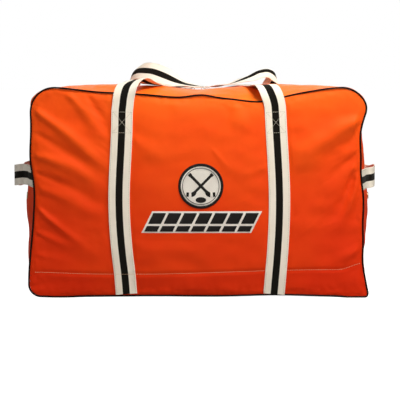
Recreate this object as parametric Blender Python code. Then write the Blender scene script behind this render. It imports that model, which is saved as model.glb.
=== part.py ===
"""Hockey equipment bag: sewn vinyl-coated panels, piped seams, striped webbing handles and a two-way zipper.

Metres, +Z up, +X towards the bag's right end as seen from the front, front panel facing -Y.
The origin is on the floor under the bag's centre.
"""

import math

import bmesh
import bpy
from mathutils import Matrix, Vector

# Driving dimensions -------------------------------------------------------------------------
PANEL_HALF = 0.404  # front and back panel, half width at the corners
SEAM_HALF = 0.186  # half the distance between the front and back seams
SEAM_LOW = 0.0065  # height of the piped seam along the bottom
SEAM_TOP = 0.500  # height of the piped seam at the top corners
CORNER_TOP = 0.062
CORNER_LOW = 0.035
WAIST = 0.036  # how far the sides pull in at half height, as a share of the half width
SAG = 0.024  # how far the top seams hang down at the middle
CROWN = 0.018  # how far the front and back panels stand out
END_CROWN = 0.033  # how far the end panels stand out
RIDGE_RISE = 0.004  # how far the zipper's ends lie above the seam corners
RIDGE_DIP = 0.008  # how far the zipper line dips at the middle
FABRIC = 0.002  # wall of the coated fabric with its backing
GAP = 0.0003  # between pieces that touch
LAY = 0.0006  # between a piece and the curved surface that it is sewn to

WEB = 0.051  # two inch webbing
WEB_THICK = 0.0018
STRAP_X = 0.185  # middle of each carrying strap
PIPING_R = 0.0025

ZIP_HALF = 0.300  # half the length of the zipped opening
ZIP_SLOT = 0.0115  # from the middle to the folded edge of each top flap
TAPE_EDGE = 0.0045
TAPE_OUTER = 0.024
COIL_INNER = 0.0008
COIL_OUTER = 0.0042
COIL_END = 0.2935
SLIDER_X = 0.0135  # closed position of each slider
SLIDER_HALF = 0.009
PULL_LONG = 0.038

END_Z = 0.285  # height of the grab handles' middle line
END_LOOP_HALF = 0.084
END_LOOP_START = 0.012  # how far the loop's ends stand off the end panel
END_LOOP_RISE = 0.029
VENT_Y = 0.075
VENT_Z = 0.238

CREST_X, CREST_Z, CREST_R = 0.007, 0.270, 0.054  # middle and radius of the round patch
BAR_X, BAR_Z = 0.009, 0.184  # middle of the long patch
BAR_HALF, BAR_HALF_HIGH = 0.145, 0.027

HANDLE_AXIS_OUT = 0.010  # from the seam plane out to the line that a carrying handle swings about
HANDLE_AXIS_UP = 0.007

HUB = Vector((0.0, 0.25))  # the point that the rings of a front or back panel shrink to

COLOURS = {  # base colour, roughness, metallic
    "orange_vinyl": ((0.84, 0.09, 0.012), 0.45, 0.0),
    "piping_black": ((0.012, 0.008, 0.008), 0.35, 0.0),
    "striped_webbing": ((0.83, 0.76, 0.62), 0.8, 0.0),
    "zipper_tape": ((0.015, 0.014, 0.014), 0.85, 0.0),
    "zipper_coil": ((0.02, 0.02, 0.02), 0.4, 0.0),
    "nickel": ((0.62, 0.60, 0.56), 0.3, 1.0),
    "brass": ((0.72, 0.52, 0.26), 0.3, 1.0),
    "patch_white": ((0.75, 0.72, 0.66), 0.85, 0.0),
    "patch_black": ((0.02, 0.02, 0.02), 0.85, 0.0),
    "liner": ((0.05, 0.05, 0.05), 0.7, 0.0),
    "board": ((0.03, 0.03, 0.03), 0.6, 0.0),
}


# The bag's own shape ------------------------------------------------------------------------
def height_share(z):
    return min(1.0, max(0.0, (z - SEAM_LOW) / (SEAM_TOP - SEAM_LOW)))


def half_width(z):
    """Half the width of the front panel at a height."""
    return PANEL_HALF * (1 - WAIST * math.sin(math.pi * height_share(z)) ** 2)


def seam_top(x):
    """Height of the top seam of the front and back panels."""
    return SEAM_TOP - SAG * max(0.0, 1 - (x / PANEL_HALF) ** 2) ** 1.5


def ridge(x):
    """Height of the bag's top along the zipper."""
    inside = max(0.0, 1 - (x / ZIP_HALF) ** 2)
    outside = max(0.0, abs(x) - ZIP_HALF) / (PANEL_HALF - CORNER_TOP - ZIP_HALF)
    return SEAM_TOP + RIDGE_RISE - RIDGE_DIP * inside**2 - 0.5 * RIDGE_RISE * min(1.0, outside)


def warped(x, z):
    """A point of the plain rounded rectangle, with the waist and the sag of the stuffed bag."""
    x_now = x * half_width(z) / PANEL_HALF
    return Vector((x_now, z - (SEAM_TOP - seam_top(x)) * height_share(z) ** 4))


def panel_crown(x, z):
    """How far the front or back panel stands out of its seam plane."""
    low, high = SEAM_LOW, seam_top(x)
    across = x / half_width(z)
    up = (z - (low + high) / 2) / ((high - low) / 2)
    return CROWN * (max(0.0, 1 - across**2) * max(0.0, 1 - up**2)) ** 0.75


def end_crown(z):
    return END_CROWN * max(0.0, 1 - ((z - 0.25) / 0.25) ** 2)


def end_surface(y, z):
    """Distance of the end panel's outer face from the middle of the bag."""
    return half_width(z) + end_crown(z) * (1 - (y / SEAM_HALF) ** 2)


def arc(centre, radius, start, stop, steps):
    return [
        (centre[0] + radius * math.cos(a), centre[1] + radius * math.sin(a))
        for a in (start + (stop - start) * k / steps for k in range(steps + 1))
    ]


def run(start, stop, steps):
    """Points of a straight run, without its first one."""
    return [
        (start[0] + (stop[0] - start[0]) * k / steps, start[1] + (stop[1] - start[1]) * k / steps)
        for k in range(1, steps + 1)
    ]


def right_end_outline():
    """From the bottom corner's foot, up the right end and over the top corner to the zipper's end."""
    low = (PANEL_HALF - CORNER_LOW, SEAM_LOW + CORNER_LOW)
    high = (PANEL_HALF - CORNER_TOP, SEAM_TOP - CORNER_TOP)
    points = arc(low, CORNER_LOW, -math.pi / 2, 0, 4)
    points += run((PANEL_HALF, low[1]), (PANEL_HALF, high[1]), 10)[:-1]
    points += arc(high, CORNER_TOP, 0, math.pi / 2, 6)
    points += run((high[0], SEAM_TOP), (ZIP_HALF, SEAM_TOP), 2)
    return points


def outline():
    """The whole seam, anticlockwise as seen from the front."""
    right = right_end_outline()
    top = run((ZIP_HALF, SEAM_TOP), (-ZIP_HALF, SEAM_TOP), 12)[:-1]
    left = [(-x, z) for x, z in reversed(right)]
    bottom = run(left[-1], right[0], 10)[:-1]
    return [warped(x, z) for x, z in right + top + left + bottom]


def outward(points, closed):
    """The outward normal at each point of an anticlockwise outline."""
    normals = []
    last = len(points) - 1
    for i in range(len(points)):
        before = points[i - 1] if closed or i else points[i]
        after = points[(i + 1) % len(points)] if closed or i < last else points[i]
        along = (after - before).normalized()
        normals.append(Vector((along.y, -along.x)))
    return normals


# Blender helpers ----------------------------------------------------------------------------
def material(name):
    found = bpy.data.materials.get(name)
    if found:
        return found
    made = bpy.data.materials.new(name)
    made.use_nodes = True
    shader = made.node_tree.nodes["Principled BSDF"]
    colour, roughness, metallic = COLOURS[name]
    shader.inputs["Base Color"].default_value = (*colour, 1)
    shader.inputs["Roughness"].default_value = roughness
    shader.inputs["Metallic"].default_value = metallic
    made.diffuse_color = (*colour, 1)
    return made


BODIES = {}


def body(name, location, parent=None):
    """An empty on a joint's axis. The pieces of that body are parented to it."""
    empty = bpy.data.objects.new(name + "_axis", None)
    empty.empty_display_size = 0.03
    bpy.context.scene.collection.objects.link(empty)
    above = BODIES[parent] if parent else None
    empty.parent = above
    empty.location = Vector(location) - (BODIES[parent]["at"] if parent else Vector())
    empty["at"] = location
    BODIES[name] = empty
    return empty


def add(name, vertices, faces, slot, owner=None):
    """An object from vertices in world coordinates, hung from its body's empty."""
    mesh = bpy.data.meshes.new(name)
    mesh.from_pydata([tuple(v) for v in vertices], [], faces)
    bm = bmesh.new()
    bm.from_mesh(mesh)
    bmesh.ops.recalc_face_normals(bm, faces=bm.faces)
    bm.to_mesh(mesh)
    bm.free()
    mesh.shade_smooth()
    mesh.set_sharp_from_angle(angle=math.radians(40))
    mesh.materials.append(material(slot))
    obj = bpy.data.objects.new(name, mesh)
    bpy.context.scene.collection.objects.link(obj)
    if owner:
        obj.parent = BODIES[owner]
        obj.location = -Vector(BODIES[owner]["at"])
    return obj


def shell(name, outer, inner, slot, owner=None, ring=False):
    """A closed wall between two grids of points. With ring, each row is a loop and the last row is capped."""
    rows, columns = len(outer), len(outer[0])
    size = rows * columns
    vertices = [p for row in outer for p in row] + [p for row in inner for p in row]
    faces = []
    spans = columns if ring else columns - 1
    for i in range(rows - 1):
        for j in range(spans):
            k = (j + 1) % columns
            quad = [i * columns + j, i * columns + k, (i + 1) * columns + k, (i + 1) * columns + j]
            faces.append(quad)
            faces.append([size + q for q in reversed(quad)])
    rim = [(j, (j + 1) % columns) for j in range(spans)]
    if ring:
        cap = [(rows - 1) * columns + j for j in range(columns)]
        faces.append(cap)
        faces.append([size + q for q in reversed(cap)])
    else:
        rim += [((rows - 1) * columns + j + 1, (rows - 1) * columns + j) for j in range(spans)]
        rim += [((i + 1) * columns, i * columns) for i in range(rows - 1)]
        rim += [((i + 1) * columns - 1, (i + 2) * columns - 1) for i in range(rows - 1)]
    faces += [[b, a, size + a, size + b] for a, b in rim]
    return add(name, vertices, faces, slot, owner)


def loft(name, sections, slot, owner=None, closed=False):
    """A solid through loops of points: capped at both ends, or joined end to end."""
    count, around = len(sections), len(sections[0])
    vertices = [p for section in sections for p in section]
    faces = []
    for i in range(count if closed else count - 1):
        a, b = i * around, ((i + 1) % count) * around
        for j in range(around):
            k = (j + 1) % around
            faces.append([a + j, a + k, b + k, b + j])
    if not closed:
        faces.append(list(range(around)))
        faces.append(list(reversed(range((count - 1) * around, count * around))))
    return add(name, vertices, faces, slot, owner)


def plate(name, outline_2d, thickness, frame, slot, owner=None):
    """A flat plate: its outline lies in the frame's XY plane and it rises along the frame's Z."""
    sections = [[frame @ Vector((x, y, z)) for x, y in outline_2d] for z in (0, thickness)]
    return loft(name, sections, slot, owner)


def rounded(half_x, half_y, radius, steps=3):
    points = []
    for k, (sx, sy) in enumerate(((1, 1), (-1, 1), (-1, -1), (1, -1))):
        start = k * math.pi / 2
        corner = (sx * (half_x - radius), sy * (half_y - radius))
        points += arc(corner, radius, start, start + math.pi / 2, steps)
    return points


def ribbon(name, path, faces_out, slot, owner=None, width=WEB, thick=WEB_THICK):
    """Flat webbing along a path. faces_out holds the direction that its outer face looks at each point."""
    sections = []
    for i, point in enumerate(path):
        along = (path[min(i + 1, len(path) - 1)] - path[max(i - 1, 0)]).normalized()
        side = along.cross(faces_out[i]).normalized() * width / 2
        up = side.cross(along).normalized() * thick / 2
        sections.append([point - side - up, point + side - up, point + side + up, point - side + up])
    return loft(name, sections, slot, owner)


def smooth_through(knots, steps):
    """Points of a Catmull-Rom curve through the knots."""
    padded = [2 * knots[0] - knots[1], *knots, 2 * knots[-1] - knots[-2]]
    points = []
    for a, b, c, d in zip(padded, padded[1:], padded[2:], padded[3:], strict=False):
        for k in range(steps):
            t = k / steps
            points.append(
                0.5 * (2 * b + (c - a) * t + (2 * a - 5 * b + 4 * c - d) * t**2 + (3 * b - a - 3 * c + d) * t**3)
            )
    return [*points, knots[-1]]


def boolean(obj, other, operation):
    """Cuts or joins with a helper that isn't part of the object."""
    modifier = obj.modifiers.new(operation.lower(), "BOOLEAN")
    modifier.operation = operation
    modifier.object = other
    other.hide_render = True
    other.display_type = "WIRE"


# Sewn shell ---------------------------------------------------------------------------------
def make_big_panels():
    """Front and back panels: rings of the seam outline that shrink towards the middle."""
    seam = outline()
    shares = (1.0, 0.94, 0.84, 0.66, 0.42, 0.16)
    for name, sign in (("front_panel", -1), ("back_panel", 1)):
        outer, inner = [], []
        for share in shares:
            ring = [HUB + (p - HUB) * share for p in seam]
            stand = [SEAM_HALF + panel_crown(p.x, p.y) for p in ring]
            outer.append([(p.x, sign * (s + FABRIC), p.y) for p, s in zip(ring, stand, strict=True)])
            inner.append([(p.x, sign * s, p.y) for p, s in zip(ring, stand, strict=True)])
        shell(name, outer, inner, "orange_vinyl", ring=True)


DEPTH_STEPS = (-1, -0.93, -0.8, -0.65, -0.5, -0.35, -0.2, 0, 0.2, 0.35, 0.5, 0.65, 0.8, 0.93, 1)
FLAT_SHARE = 0.8  # the bottom is flat over this share of the depth
FLAT_POWER = 8


def gusset_profile(v, flatness):
    """How much of the crown a gusset has at v of the half depth: round on the ends, flat on the bottom."""
    flat = min(1.0, (1 - abs(v) ** FLAT_POWER) / (1 - FLAT_SHARE**FLAT_POWER))
    return (1 - v * v) * (1 - flatness) + flat * flatness


def gusset(name, points, crowns, flatnesses, depths, slot="orange_vinyl", owner=None):
    """A strip of the gusset between two depths, along part of the outline."""
    normals = outward(points, closed=False)
    outer, inner = [], []
    for point, normal, crown, flatness in zip(points, normals, crowns, flatnesses, strict=True):
        outs, ins = [], []
        for v in depths:
            at = point + normal * crown * gusset_profile(v, flatness)
            back = at - normal * FABRIC
            y = v * (SEAM_HALF - 0.001)
            outs.append((at.x, y, at.y))
            ins.append((back.x, y, back.y))
        outer.append(outs)
        inner.append(ins)
    return shell(name, outer, inner, slot, owner)


def make_end_panels():
    """Each end panel runs from the floor up over the top corner to the end of the zipper."""
    plain = right_end_outline()
    points = [warped(x, z) for x, z in plain]
    crowns, flatnesses = [], []
    for x, z in plain:
        corner_top = z > SEAM_TOP - CORNER_TOP
        corner_low = z < SEAM_LOW + CORNER_LOW
        share = (SEAM_LOW + CORNER_LOW - z) / CORNER_LOW if corner_low else 0.0
        top = ridge(x) - seam_top(x)
        lean = min(1.0, max(0.0, (z - SEAM_TOP + CORNER_TOP) / CORNER_TOP)) if corner_top else 0.0
        crown = end_crown(z) * (1 - share) + SEAM_LOW * share
        crowns.append(crown * (1 - lean) + top * lean)
        flatnesses.append(share)
    ends = []
    for name, sign in (("right_end_panel", 1), ("left_end_panel", -1)):
        side = [Vector((sign * p.x, p.y)) for p in points]
        if sign < 0:
            side.reverse()
        order = 1 if sign > 0 else -1
        ends.append(gusset(name, side, crowns[::order], flatnesses[::order], DEPTH_STEPS))
    return ends


def make_bottom_panel():
    reach = PANEL_HALF - CORNER_LOW - 0.0004
    points = [Vector((x, SEAM_LOW)) for x, _ in [(-reach, 0), *run((-reach, 0), (reach, 0), 4)]]
    gusset("bottom_panel", points, [SEAM_LOW] * 5, [1.0] * 5, DEPTH_STEPS)


def make_flaps():
    """The two halves of the zipped top, each hinged on its own seam."""
    reach = ZIP_HALF - 0.001
    xs = [reach - 2 * reach * k / 16 for k in range(17)]
    points = [Vector((x, seam_top(x))) for x in xs]
    crowns = [ridge(x) - seam_top(x) for x in xs]
    slot = ZIP_SLOT / (SEAM_HALF - 0.001)
    depths = (1, 0.93, 0.8, 0.6, 0.4, 0.2, slot)
    for name, sign in (("top_flap_front", -1), ("top_flap_back", 1)):
        gusset(name, points, crowns, [0.0] * 17, [sign * v for v in depths], owner=name)


def make_piping():
    """A welt cord in its vinyl cover, all round each big panel."""
    seam = outline()
    stand = PIPING_R + 0.0004
    path = [p + n * stand for p, n in zip(seam, outward(seam, closed=True), strict=True)]
    for name, sign in (("front_piping", -1), ("back_piping", 1)):
        curve = bpy.data.curves.new(name, "CURVE")
        curve.dimensions = "3D"
        curve.bevel_depth = PIPING_R
        curve.bevel_resolution = 1
        spline = curve.splines.new("POLY")
        spline.points.add(len(path) - 1)
        for knot, p in zip(spline.points, path, strict=True):
            knot.co = (p.x, sign * (SEAM_HALF + 0.001), p.y, 1)
        spline.use_cyclic_u = True
        curve.materials.append(material("piping_black"))
        obj = bpy.data.objects.new(name, curve)
        bpy.context.scene.collection.objects.link(obj)


# Inside -------------------------------------------------------------------------------------
def make_inside():
    """The liner tray that the hem stitch holds, and the stiff board that lies in it."""
    wall, floor, top = SEAM_HALF - 0.004, 0.0026, 0.072
    turn_y, turn_z, thick = 0.145, 0.012, 0.0012
    outer = [(-wall, top), (-wall, turn_z), (-turn_y, floor), (turn_y, floor), (wall, turn_z), (wall, top)]
    inner = [(-wall + thick, top), (-wall + thick, turn_z + thick), (-turn_y, floor + thick)]
    loop = outer + [(-y, z) for y, z in inner] + list(reversed(inner))
    reach = 0.36
    loft("bottom_liner", [[(x, y, z) for y, z in loop] for x in (-reach, reach)], "liner")
    frame = Matrix.Translation((0, 0, 0.0045))
    plate("bottom_board", rounded(0.35, 0.138, 0.03, 4), 0.003, frame, "board")


# Carrying straps and handles ----------------------------------------------------------------
def make_straps():
    """The sewn legs of the carrying straps, from the bottom seam to just over the top piping."""
    top = seam_top(STRAP_X)
    heights = [0.010, 0.018, 0.03, 0.05] + [0.08 + 0.04 * k for k in range(9)]
    heights += [0.425, 0.445, 0.460, 0.470, 0.478, top + 0.004]
    for side, sx in (("left", -1), ("right", 1)):
        for face, sy in (("front", -1), ("back", 1)):
            sections = []
            for z in heights:
                clear = min(1.0, max(0.0, (z - top + 0.02) / 0.015))
                back, front = [], []
                for across in (-0.5, 0, 0.5):
                    x = sx * STRAP_X + across * WEB
                    y = SEAM_HALF + FABRIC + panel_crown(x, z) + LAY + 0.0016 * clear
                    back.append((x, sy * y, z))
                    front.append((x, sy * (y + WEB_THICK), z))
                sections.append(back + front[::-1])
            loft(f"{face}_strap_{side}", sections, "striped_webbing")


HANDLE_AXIS_Z = seam_top(STRAP_X) + HANDLE_AXIS_UP

# Each free loop from left to right: a point of its middle line, and how far its outer face leans to the front.
FRONT_HANDLE = (
    ((-0.185, -0.1960, 0.4935), 48),
    ((-0.181, -0.1860, 0.5060), 45),
    ((-0.160, -0.1520, 0.5185), 30),
    ((-0.136, -0.1050, 0.5235), 5),
    ((-0.118, -0.0550, 0.5180), -15),
    ((-0.098, -0.0050, 0.5125), -15),
    ((-0.060, 0.0350, 0.5080), -6),
    ((0.0, 0.0550, 0.5060), -3),
    ((0.065, 0.0350, 0.5085), -3),
    ((0.110, -0.0080, 0.5130), -5),
    ((0.135, -0.0600, 0.5160), -3),
    ((0.152, -0.1150, 0.5175), 10),
    ((0.167, -0.1550, 0.5155), 30),
    ((0.181, -0.1860, 0.5045), 45),
    ((0.185, -0.1960, 0.4935), 48),
)
BACK_HANDLE = (
    ((-0.185, 0.1960, 0.4935), -48),
    ((-0.187, 0.1885, 0.5130), -50),
    ((-0.176, 0.1680, 0.5330), -20),
    ((-0.150, 0.1350, 0.5440), 20),
    ((-0.115, 0.1100, 0.5440), 38),
    ((-0.078, 0.1000, 0.5355), 38),
    ((-0.042, 0.1080, 0.5200), 30),
    ((0.0, 0.1280, 0.5060), 10),
    ((0.045, 0.1300, 0.5100), -5),
    ((0.085, 0.1320, 0.5200), -12),
    ((0.125, 0.1380, 0.5330), -25),
    ((0.160, 0.1500, 0.5405), -35),
    ((0.186, 0.1700, 0.5330), -50),
    ((0.188, 0.1885, 0.5130), -50),
    ((0.185, 0.1960, 0.4935), -48),
)


def make_handles():
    """The free loops. At rest they lie folded in over the top of the bag."""
    for name, knots in (("front_handle", FRONT_HANDLE), ("back_handle", BACK_HANDLE)):
        path = smooth_through([Vector(at) for at, _ in knots], 3)
        leans = smooth_through([Vector((math.radians(lean), 0, 0)) for _, lean in knots], 3)
        looks = [Vector((0, -math.sin(lean.x), math.cos(lean.x))) for lean in leans]
        ribbon(name, path, looks, "striped_webbing", name, thick=0.0022)


# End handles and vents ----------------------------------------------------------------------
def make_end_handles():
    foot = end_surface(END_LOOP_HALF, END_Z)
    steps = 14
    for side, sx in (("left", -1), ("right", 1)):
        for face, sy in (("front", -1), ("back", 1)):
            sections = []
            for k in range(6):
                y = SEAM_HALF - 0.004 - k * (SEAM_HALF - 0.004 - 0.088) / 5
                back, front = [], []
                for across in (-0.5, 0, 0.5):
                    z = END_Z + across * WEB
                    x = end_surface(y, z) + LAY
                    back.append((sx * x, sy * y, z))
                    front.append((sx * (x + WEB_THICK), sy * y, z))
                sections.append(back + front[::-1])
            loft(f"{side}_end_strap_{face}", sections, "striped_webbing")
        path, looks = [], []
        for k in range(steps + 1):
            a = math.pi * k / steps
            x = foot + END_LOOP_START + END_LOOP_RISE * math.sin(a)
            path.append(Vector((sx * x, -END_LOOP_HALF * math.cos(a), END_Z)))
            looks.append(Vector((sx * math.sin(a) / END_LOOP_RISE, -math.cos(a) / END_LOOP_HALF, 0)).normalized())
        ribbon(f"{side}_end_handle", path, looks, "striped_webbing", f"{side}_end_handle")


def end_frame(y, z, sx):
    """Axes on the outer face of an end panel: local Z points out of the bag."""
    step = 0.004
    at = Vector((sx * end_surface(y, z), y, z))
    along_y = Vector((sx * (end_surface(y + step, z) - end_surface(y - step, z)), 2 * step, 0))
    along_z = Vector((sx * (end_surface(y, z + step) - end_surface(y, z - step)), 0, 2 * step))
    out = along_y.cross(along_z).normalized() * sx
    u = Vector((0, 0, 1)).cross(out).normalized()
    return Matrix.Translation(at) @ Matrix((u, out.cross(u), out)).transposed().to_4x4()


def turned(name, profile, frame, slot, steps=16):
    """A ring: the (radius, height) profile turned about the frame's Z."""
    sections = []
    for k in range(steps):
        a = 2 * math.pi * k / steps
        sections.append([frame @ Vector((r * math.cos(a), r * math.sin(a), h)) for r, h in profile])
    return loft(name, sections, slot, closed=True)


def make_vents(ends):
    """Brass eyelets: a flanged barrel through each hole in an end panel, and its washer inside."""
    hole, bore, barrel, rim = 0.0054, 0.0040, 0.0047, 0.0085
    lift = 0.0006
    eyelet = ((bore, lift + 0.0007), (rim - 0.0016, lift + 0.0013), (rim, lift + 0.0006), (rim, lift))
    eyelet += ((barrel, lift), (barrel, -0.0048), (bore, -0.0048))
    washer = ((barrel + 0.0005, -0.0028), (rim, -0.0028), (rim, -0.0038), (barrel + 0.0005, -0.0038))
    for panel, side, sx in zip(ends, ("right", "left"), (1, -1), strict=True):
        for face, sy in (("front", -1), ("back", 1)):
            frame = end_frame(sy * VENT_Y, VENT_Z, sx)
            drill = [(hole * math.cos(math.pi * k / 8), hole * math.sin(math.pi * k / 8)) for k in range(16)]
            deep = frame @ Matrix.Translation((0, 0, -0.01))
            cutter = plate(f"{side}_{face}_vent_drill", drill, 0.02, deep, "brass")
            boolean(panel, cutter, "DIFFERENCE")
            turned(f"{side}_vent_eyelet_{face}", eyelet, frame, "brass")
            turned(f"{side}_vent_washer_{face}", washer, frame, "brass")


# Zipper -------------------------------------------------------------------------------------
def bar(name, y0, y1, drop_top, drop_low, reach, slot, owner, stations=24):
    """A strip along the zipper, its top and bottom at set drops below the ridge line."""
    sections = []
    for k in range(stations + 1):
        x = -reach + 2 * reach * k / stations
        top, low = ridge(x) - drop_top, ridge(x) - drop_low
        sections.append([(x, y0, low), (x, y1, low), (x, y1, top), (x, y0, top)])
    return loft(name, sections, slot, owner)


def make_zipper():
    for face, sign in (("front", -1), ("back", 1)):
        flap = f"top_flap_{face}"
        bar(f"zipper_tape_{face}", sign * TAPE_EDGE, sign * TAPE_OUTER, 0.0026, 0.0034, 0.298, "zipper_tape", flap)
        bar(f"zipper_coil_{face}", sign * COIL_INNER, sign * COIL_OUTER, 0.0012, 0.0042, COIL_END, "zipper_coil", flap)
    for side, sx in (("left", -1), ("right", 1)):
        make_slider(side, sx)
        make_zipper_end(side, sx)


PULL_LIFT = 0.0024  # height of a pull's crossbar above the ridge line


def make_slider(side, sx):
    """Two plates joined by a divider between the coils, with a bridge on top that holds the pull."""
    level = ridge(SLIDER_X)
    web, wide = 0.00045, 0.0065
    rows = ((-1, 0.8), (-0.7, 1), (0.2, 1), (1, 0.72))
    sections = []
    for along, width in rows:
        half = wide * width
        top, under, over, low = 0.0007, -0.0009, -0.0045, -0.0059
        right = [(web, over), (half, over), (half, low)]
        loop = [(half, top), (half, under), (web, under), *right]
        loop += [(-y, z) for y, z in reversed(loop)]
        x = sx * (SLIDER_X - along * SLIDER_HALF)
        sections.append([(x, y, level + z) for y, z in loop])
    body_piece = loft(f"slider_{side}", sections, "nickel", f"slider_{side}")
    outer = arc((0, 0), 1, 0, math.pi, 6)
    rise, thick, half = 0.0042, 0.0011, 0.0056
    arch = [(half * c, rise * s) for c, s in outer]
    arch += [((half - thick) * c, (rise - thick) * s) for c, s in reversed(outer)]
    sink = level + 0.0003
    hoop = [[(sx * SLIDER_X + x, y, sink + z) for x, z in arch] for y in (-0.0013, 0.0013)]
    boolean(body_piece, loft(f"slider_{side}_bridge", hoop, "nickel", f"slider_{side}"), "UNION")
    make_pull(side, sx, level)


def make_pull(side, sx, level):
    """A flat tab whose window lets the slider's bridge through. At rest it lies along the zipper."""
    half, tip = 0.0045, 0.0035
    thick = 0.0012
    tab = [(-0.0007, -half), (0.011, -half), (PULL_LONG - tip, -half - 0.0005)]
    tab += [(PULL_LONG - tip + tip * math.sin(a), -(half + 0.0005) * math.cos(a)) for a in (0.6, 1.1, 1.57)]
    tab += [(x, -y) for x, y in reversed(tab[:-1])]
    turn = Matrix.Translation((sx * SLIDER_X, 0, level + PULL_LIFT - thick / 2)) @ Matrix.Diagonal((sx, 1, 1, 1))
    pull = plate(f"pull_{side}", tab, thick, turn, "nickel", f"pull_{side}")
    window = [(0.0006, -0.0030), (0.0085, -0.0030), (0.0085, 0.0030), (0.0006, 0.0030)]
    cutter = plate(f"pull_{side}_window", window, 0.01, turn @ Matrix.Translation((0, 0, -0.005)), "nickel", f"pull_{side}")
    boolean(pull, cutter, "DIFFERENCE")


def make_zipper_end(side, sx):
    """The metal stop across the coils, and the vinyl tab sewn over the zipper's end."""
    stop = [(sx * x, y) for x, y in ((0.2940, -0.0041), (0.2975, -0.0041), (0.2975, 0.0041), (0.2940, 0.0041))]
    frame = Matrix.Translation((0, 0, ridge(ZIP_HALF) - 0.0044))
    plate(f"zipper_stop_{side}", stop, 0.0034, frame, "nickel")
    sections = []
    for x in (0.3035, 0.318, 0.333):
        low, high = [], []
        for y in (-0.018, -0.009, 0, 0.009, 0.018):
            surface = seam_top(x) + (ridge(x) - seam_top(x)) * (1 - (y / SEAM_HALF) ** 2)
            low.append((sx * x, y, surface + 0.0004))
            high.append((sx * x, y, surface + 0.0012))
        sections.append(low + high[::-1])
    loft(f"zipper_end_tab_{side}", sections, "orange_vinyl")


# Emblem patches -----------------------------------------------------------------------------
PATCH_THICK = 0.0012


def on_front(x, z, lift):
    """A point on the front panel's outer face, lifted off it."""
    return (x, -(SEAM_HALF + FABRIC + panel_crown(x, z) + LAY + lift), z)


def make_patches():
    """A round crest and a plain bar below it, sewn to the front panel."""
    steps = 24
    outer, inner = [], []
    for share in (1.0, 0.55):
        turns = [2 * math.pi * k / steps for k in range(steps)]
        ring = [(CREST_X + CREST_R * share * math.cos(t), CREST_Z + CREST_R * share * math.sin(t)) for t in turns]
        outer.append([on_front(x, z, PATCH_THICK) for x, z in ring])
        inner.append([on_front(x, z, 0) for x, z in ring])
    shell("crest_patch", outer, inner, "patch_white", ring=True)
    sections = []
    for k in range(9):
        x = BAR_X + BAR_HALF * (k / 4 - 1)
        heights = (BAR_Z - BAR_HALF_HIGH, BAR_Z, BAR_Z + BAR_HALF_HIGH)
        low = [on_front(x, z, 0) for z in heights]
        high = [on_front(x, z, PATCH_THICK) for z in heights]
        sections.append(low + high[::-1])
    loft("bar_patch", sections, "patch_black")


def main():
    for obj in list(bpy.data.objects):
        bpy.data.objects.remove(obj)
    seam_y = SEAM_HALF - 0.001
    hinge_z = seam_top(0) - FABRIC
    body("top_flap_front", (0, -seam_y, hinge_z))
    body("top_flap_back", (0, seam_y, hinge_z))
    body("front_handle", (0, -SEAM_HALF - HANDLE_AXIS_OUT, HANDLE_AXIS_Z))
    body("back_handle", (0, SEAM_HALF + HANDLE_AXIS_OUT, HANDLE_AXIS_Z))
    loop_x = end_surface(END_LOOP_HALF, END_Z) + 0.008
    for side, sx in (("left", -1), ("right", 1)):
        body(f"{side}_end_handle", (sx * loop_x, 0, END_Z))
        body(f"slider_{side}", (sx * SLIDER_X, 0, ridge(SLIDER_X)))
        body(f"pull_{side}", (sx * SLIDER_X, 0, ridge(SLIDER_X) + PULL_LIFT))
    make_big_panels()
    ends = make_end_panels()
    make_bottom_panel()
    make_flaps()
    make_piping()
    make_inside()
    make_straps()
    make_handles()
    make_end_handles()
    make_vents(ends)
    make_zipper()
    make_patches()


main()
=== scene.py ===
"""Hockey equipment bag: the looks.

The shell is lofted in coated cloth that sags and folds, with piped seams, striped webbing, a coil zipper,
an embroidered badge and a light stage. Metres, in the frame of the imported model: front panel towards -Y.
"""

import math

import bmesh
import bpy
import numpy as np
from mathutils import Matrix, Vector, noise


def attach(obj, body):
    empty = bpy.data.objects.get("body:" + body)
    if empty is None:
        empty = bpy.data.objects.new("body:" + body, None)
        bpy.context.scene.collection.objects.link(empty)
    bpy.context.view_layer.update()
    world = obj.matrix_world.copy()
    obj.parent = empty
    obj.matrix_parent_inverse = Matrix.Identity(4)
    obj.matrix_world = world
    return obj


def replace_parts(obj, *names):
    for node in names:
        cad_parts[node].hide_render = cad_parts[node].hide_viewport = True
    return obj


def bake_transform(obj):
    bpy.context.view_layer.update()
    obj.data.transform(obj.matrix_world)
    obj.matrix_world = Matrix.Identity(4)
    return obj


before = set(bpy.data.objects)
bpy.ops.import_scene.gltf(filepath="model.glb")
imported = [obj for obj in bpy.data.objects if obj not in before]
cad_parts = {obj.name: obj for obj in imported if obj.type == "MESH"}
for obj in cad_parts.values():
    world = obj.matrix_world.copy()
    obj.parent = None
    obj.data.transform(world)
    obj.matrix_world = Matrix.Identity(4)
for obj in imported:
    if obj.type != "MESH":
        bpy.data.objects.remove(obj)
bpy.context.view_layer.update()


# Driving dimensions, as in the design --------------------------------------------------------
HALF = 0.4025  # half the width of the front and back panels at their corners
SEAM = 0.186  # half the distance between the front and back seams
LOW, TOP = 0.0065, 0.500  # heights of the seams
CORNER_TOP = 0.062
WAIST = 0.036
SAG = 0.024
CROWN = 0.019
END_CROWN = 0.033
CLOTH = 0.0012
FACE = SEAM + 0.0008  # outer face of a big panel at its seam
ZIP_HALF = 0.300
ZIP_SLOT = 0.0115
WEB = 0.051
WEB_THICK = 0.0019
WEB_EDGE = 0.0005  # how far its rounded edges reach in
WEB_STITCH = WEB / 2 - 0.0032  # from its middle to a row of edge stitches
STRAP_X = 0.185
SEWN_LOW, SEWN_TOP = 0.0095, 0.4470  # the carrying straps are sewn down between these heights
BOX_HIGH = 0.050  # height of the box stitched with an X at the top of the sewn run
PIPING_R = 0.0021
END_Z = 0.285
LOOP_HALF = 0.084
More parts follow.
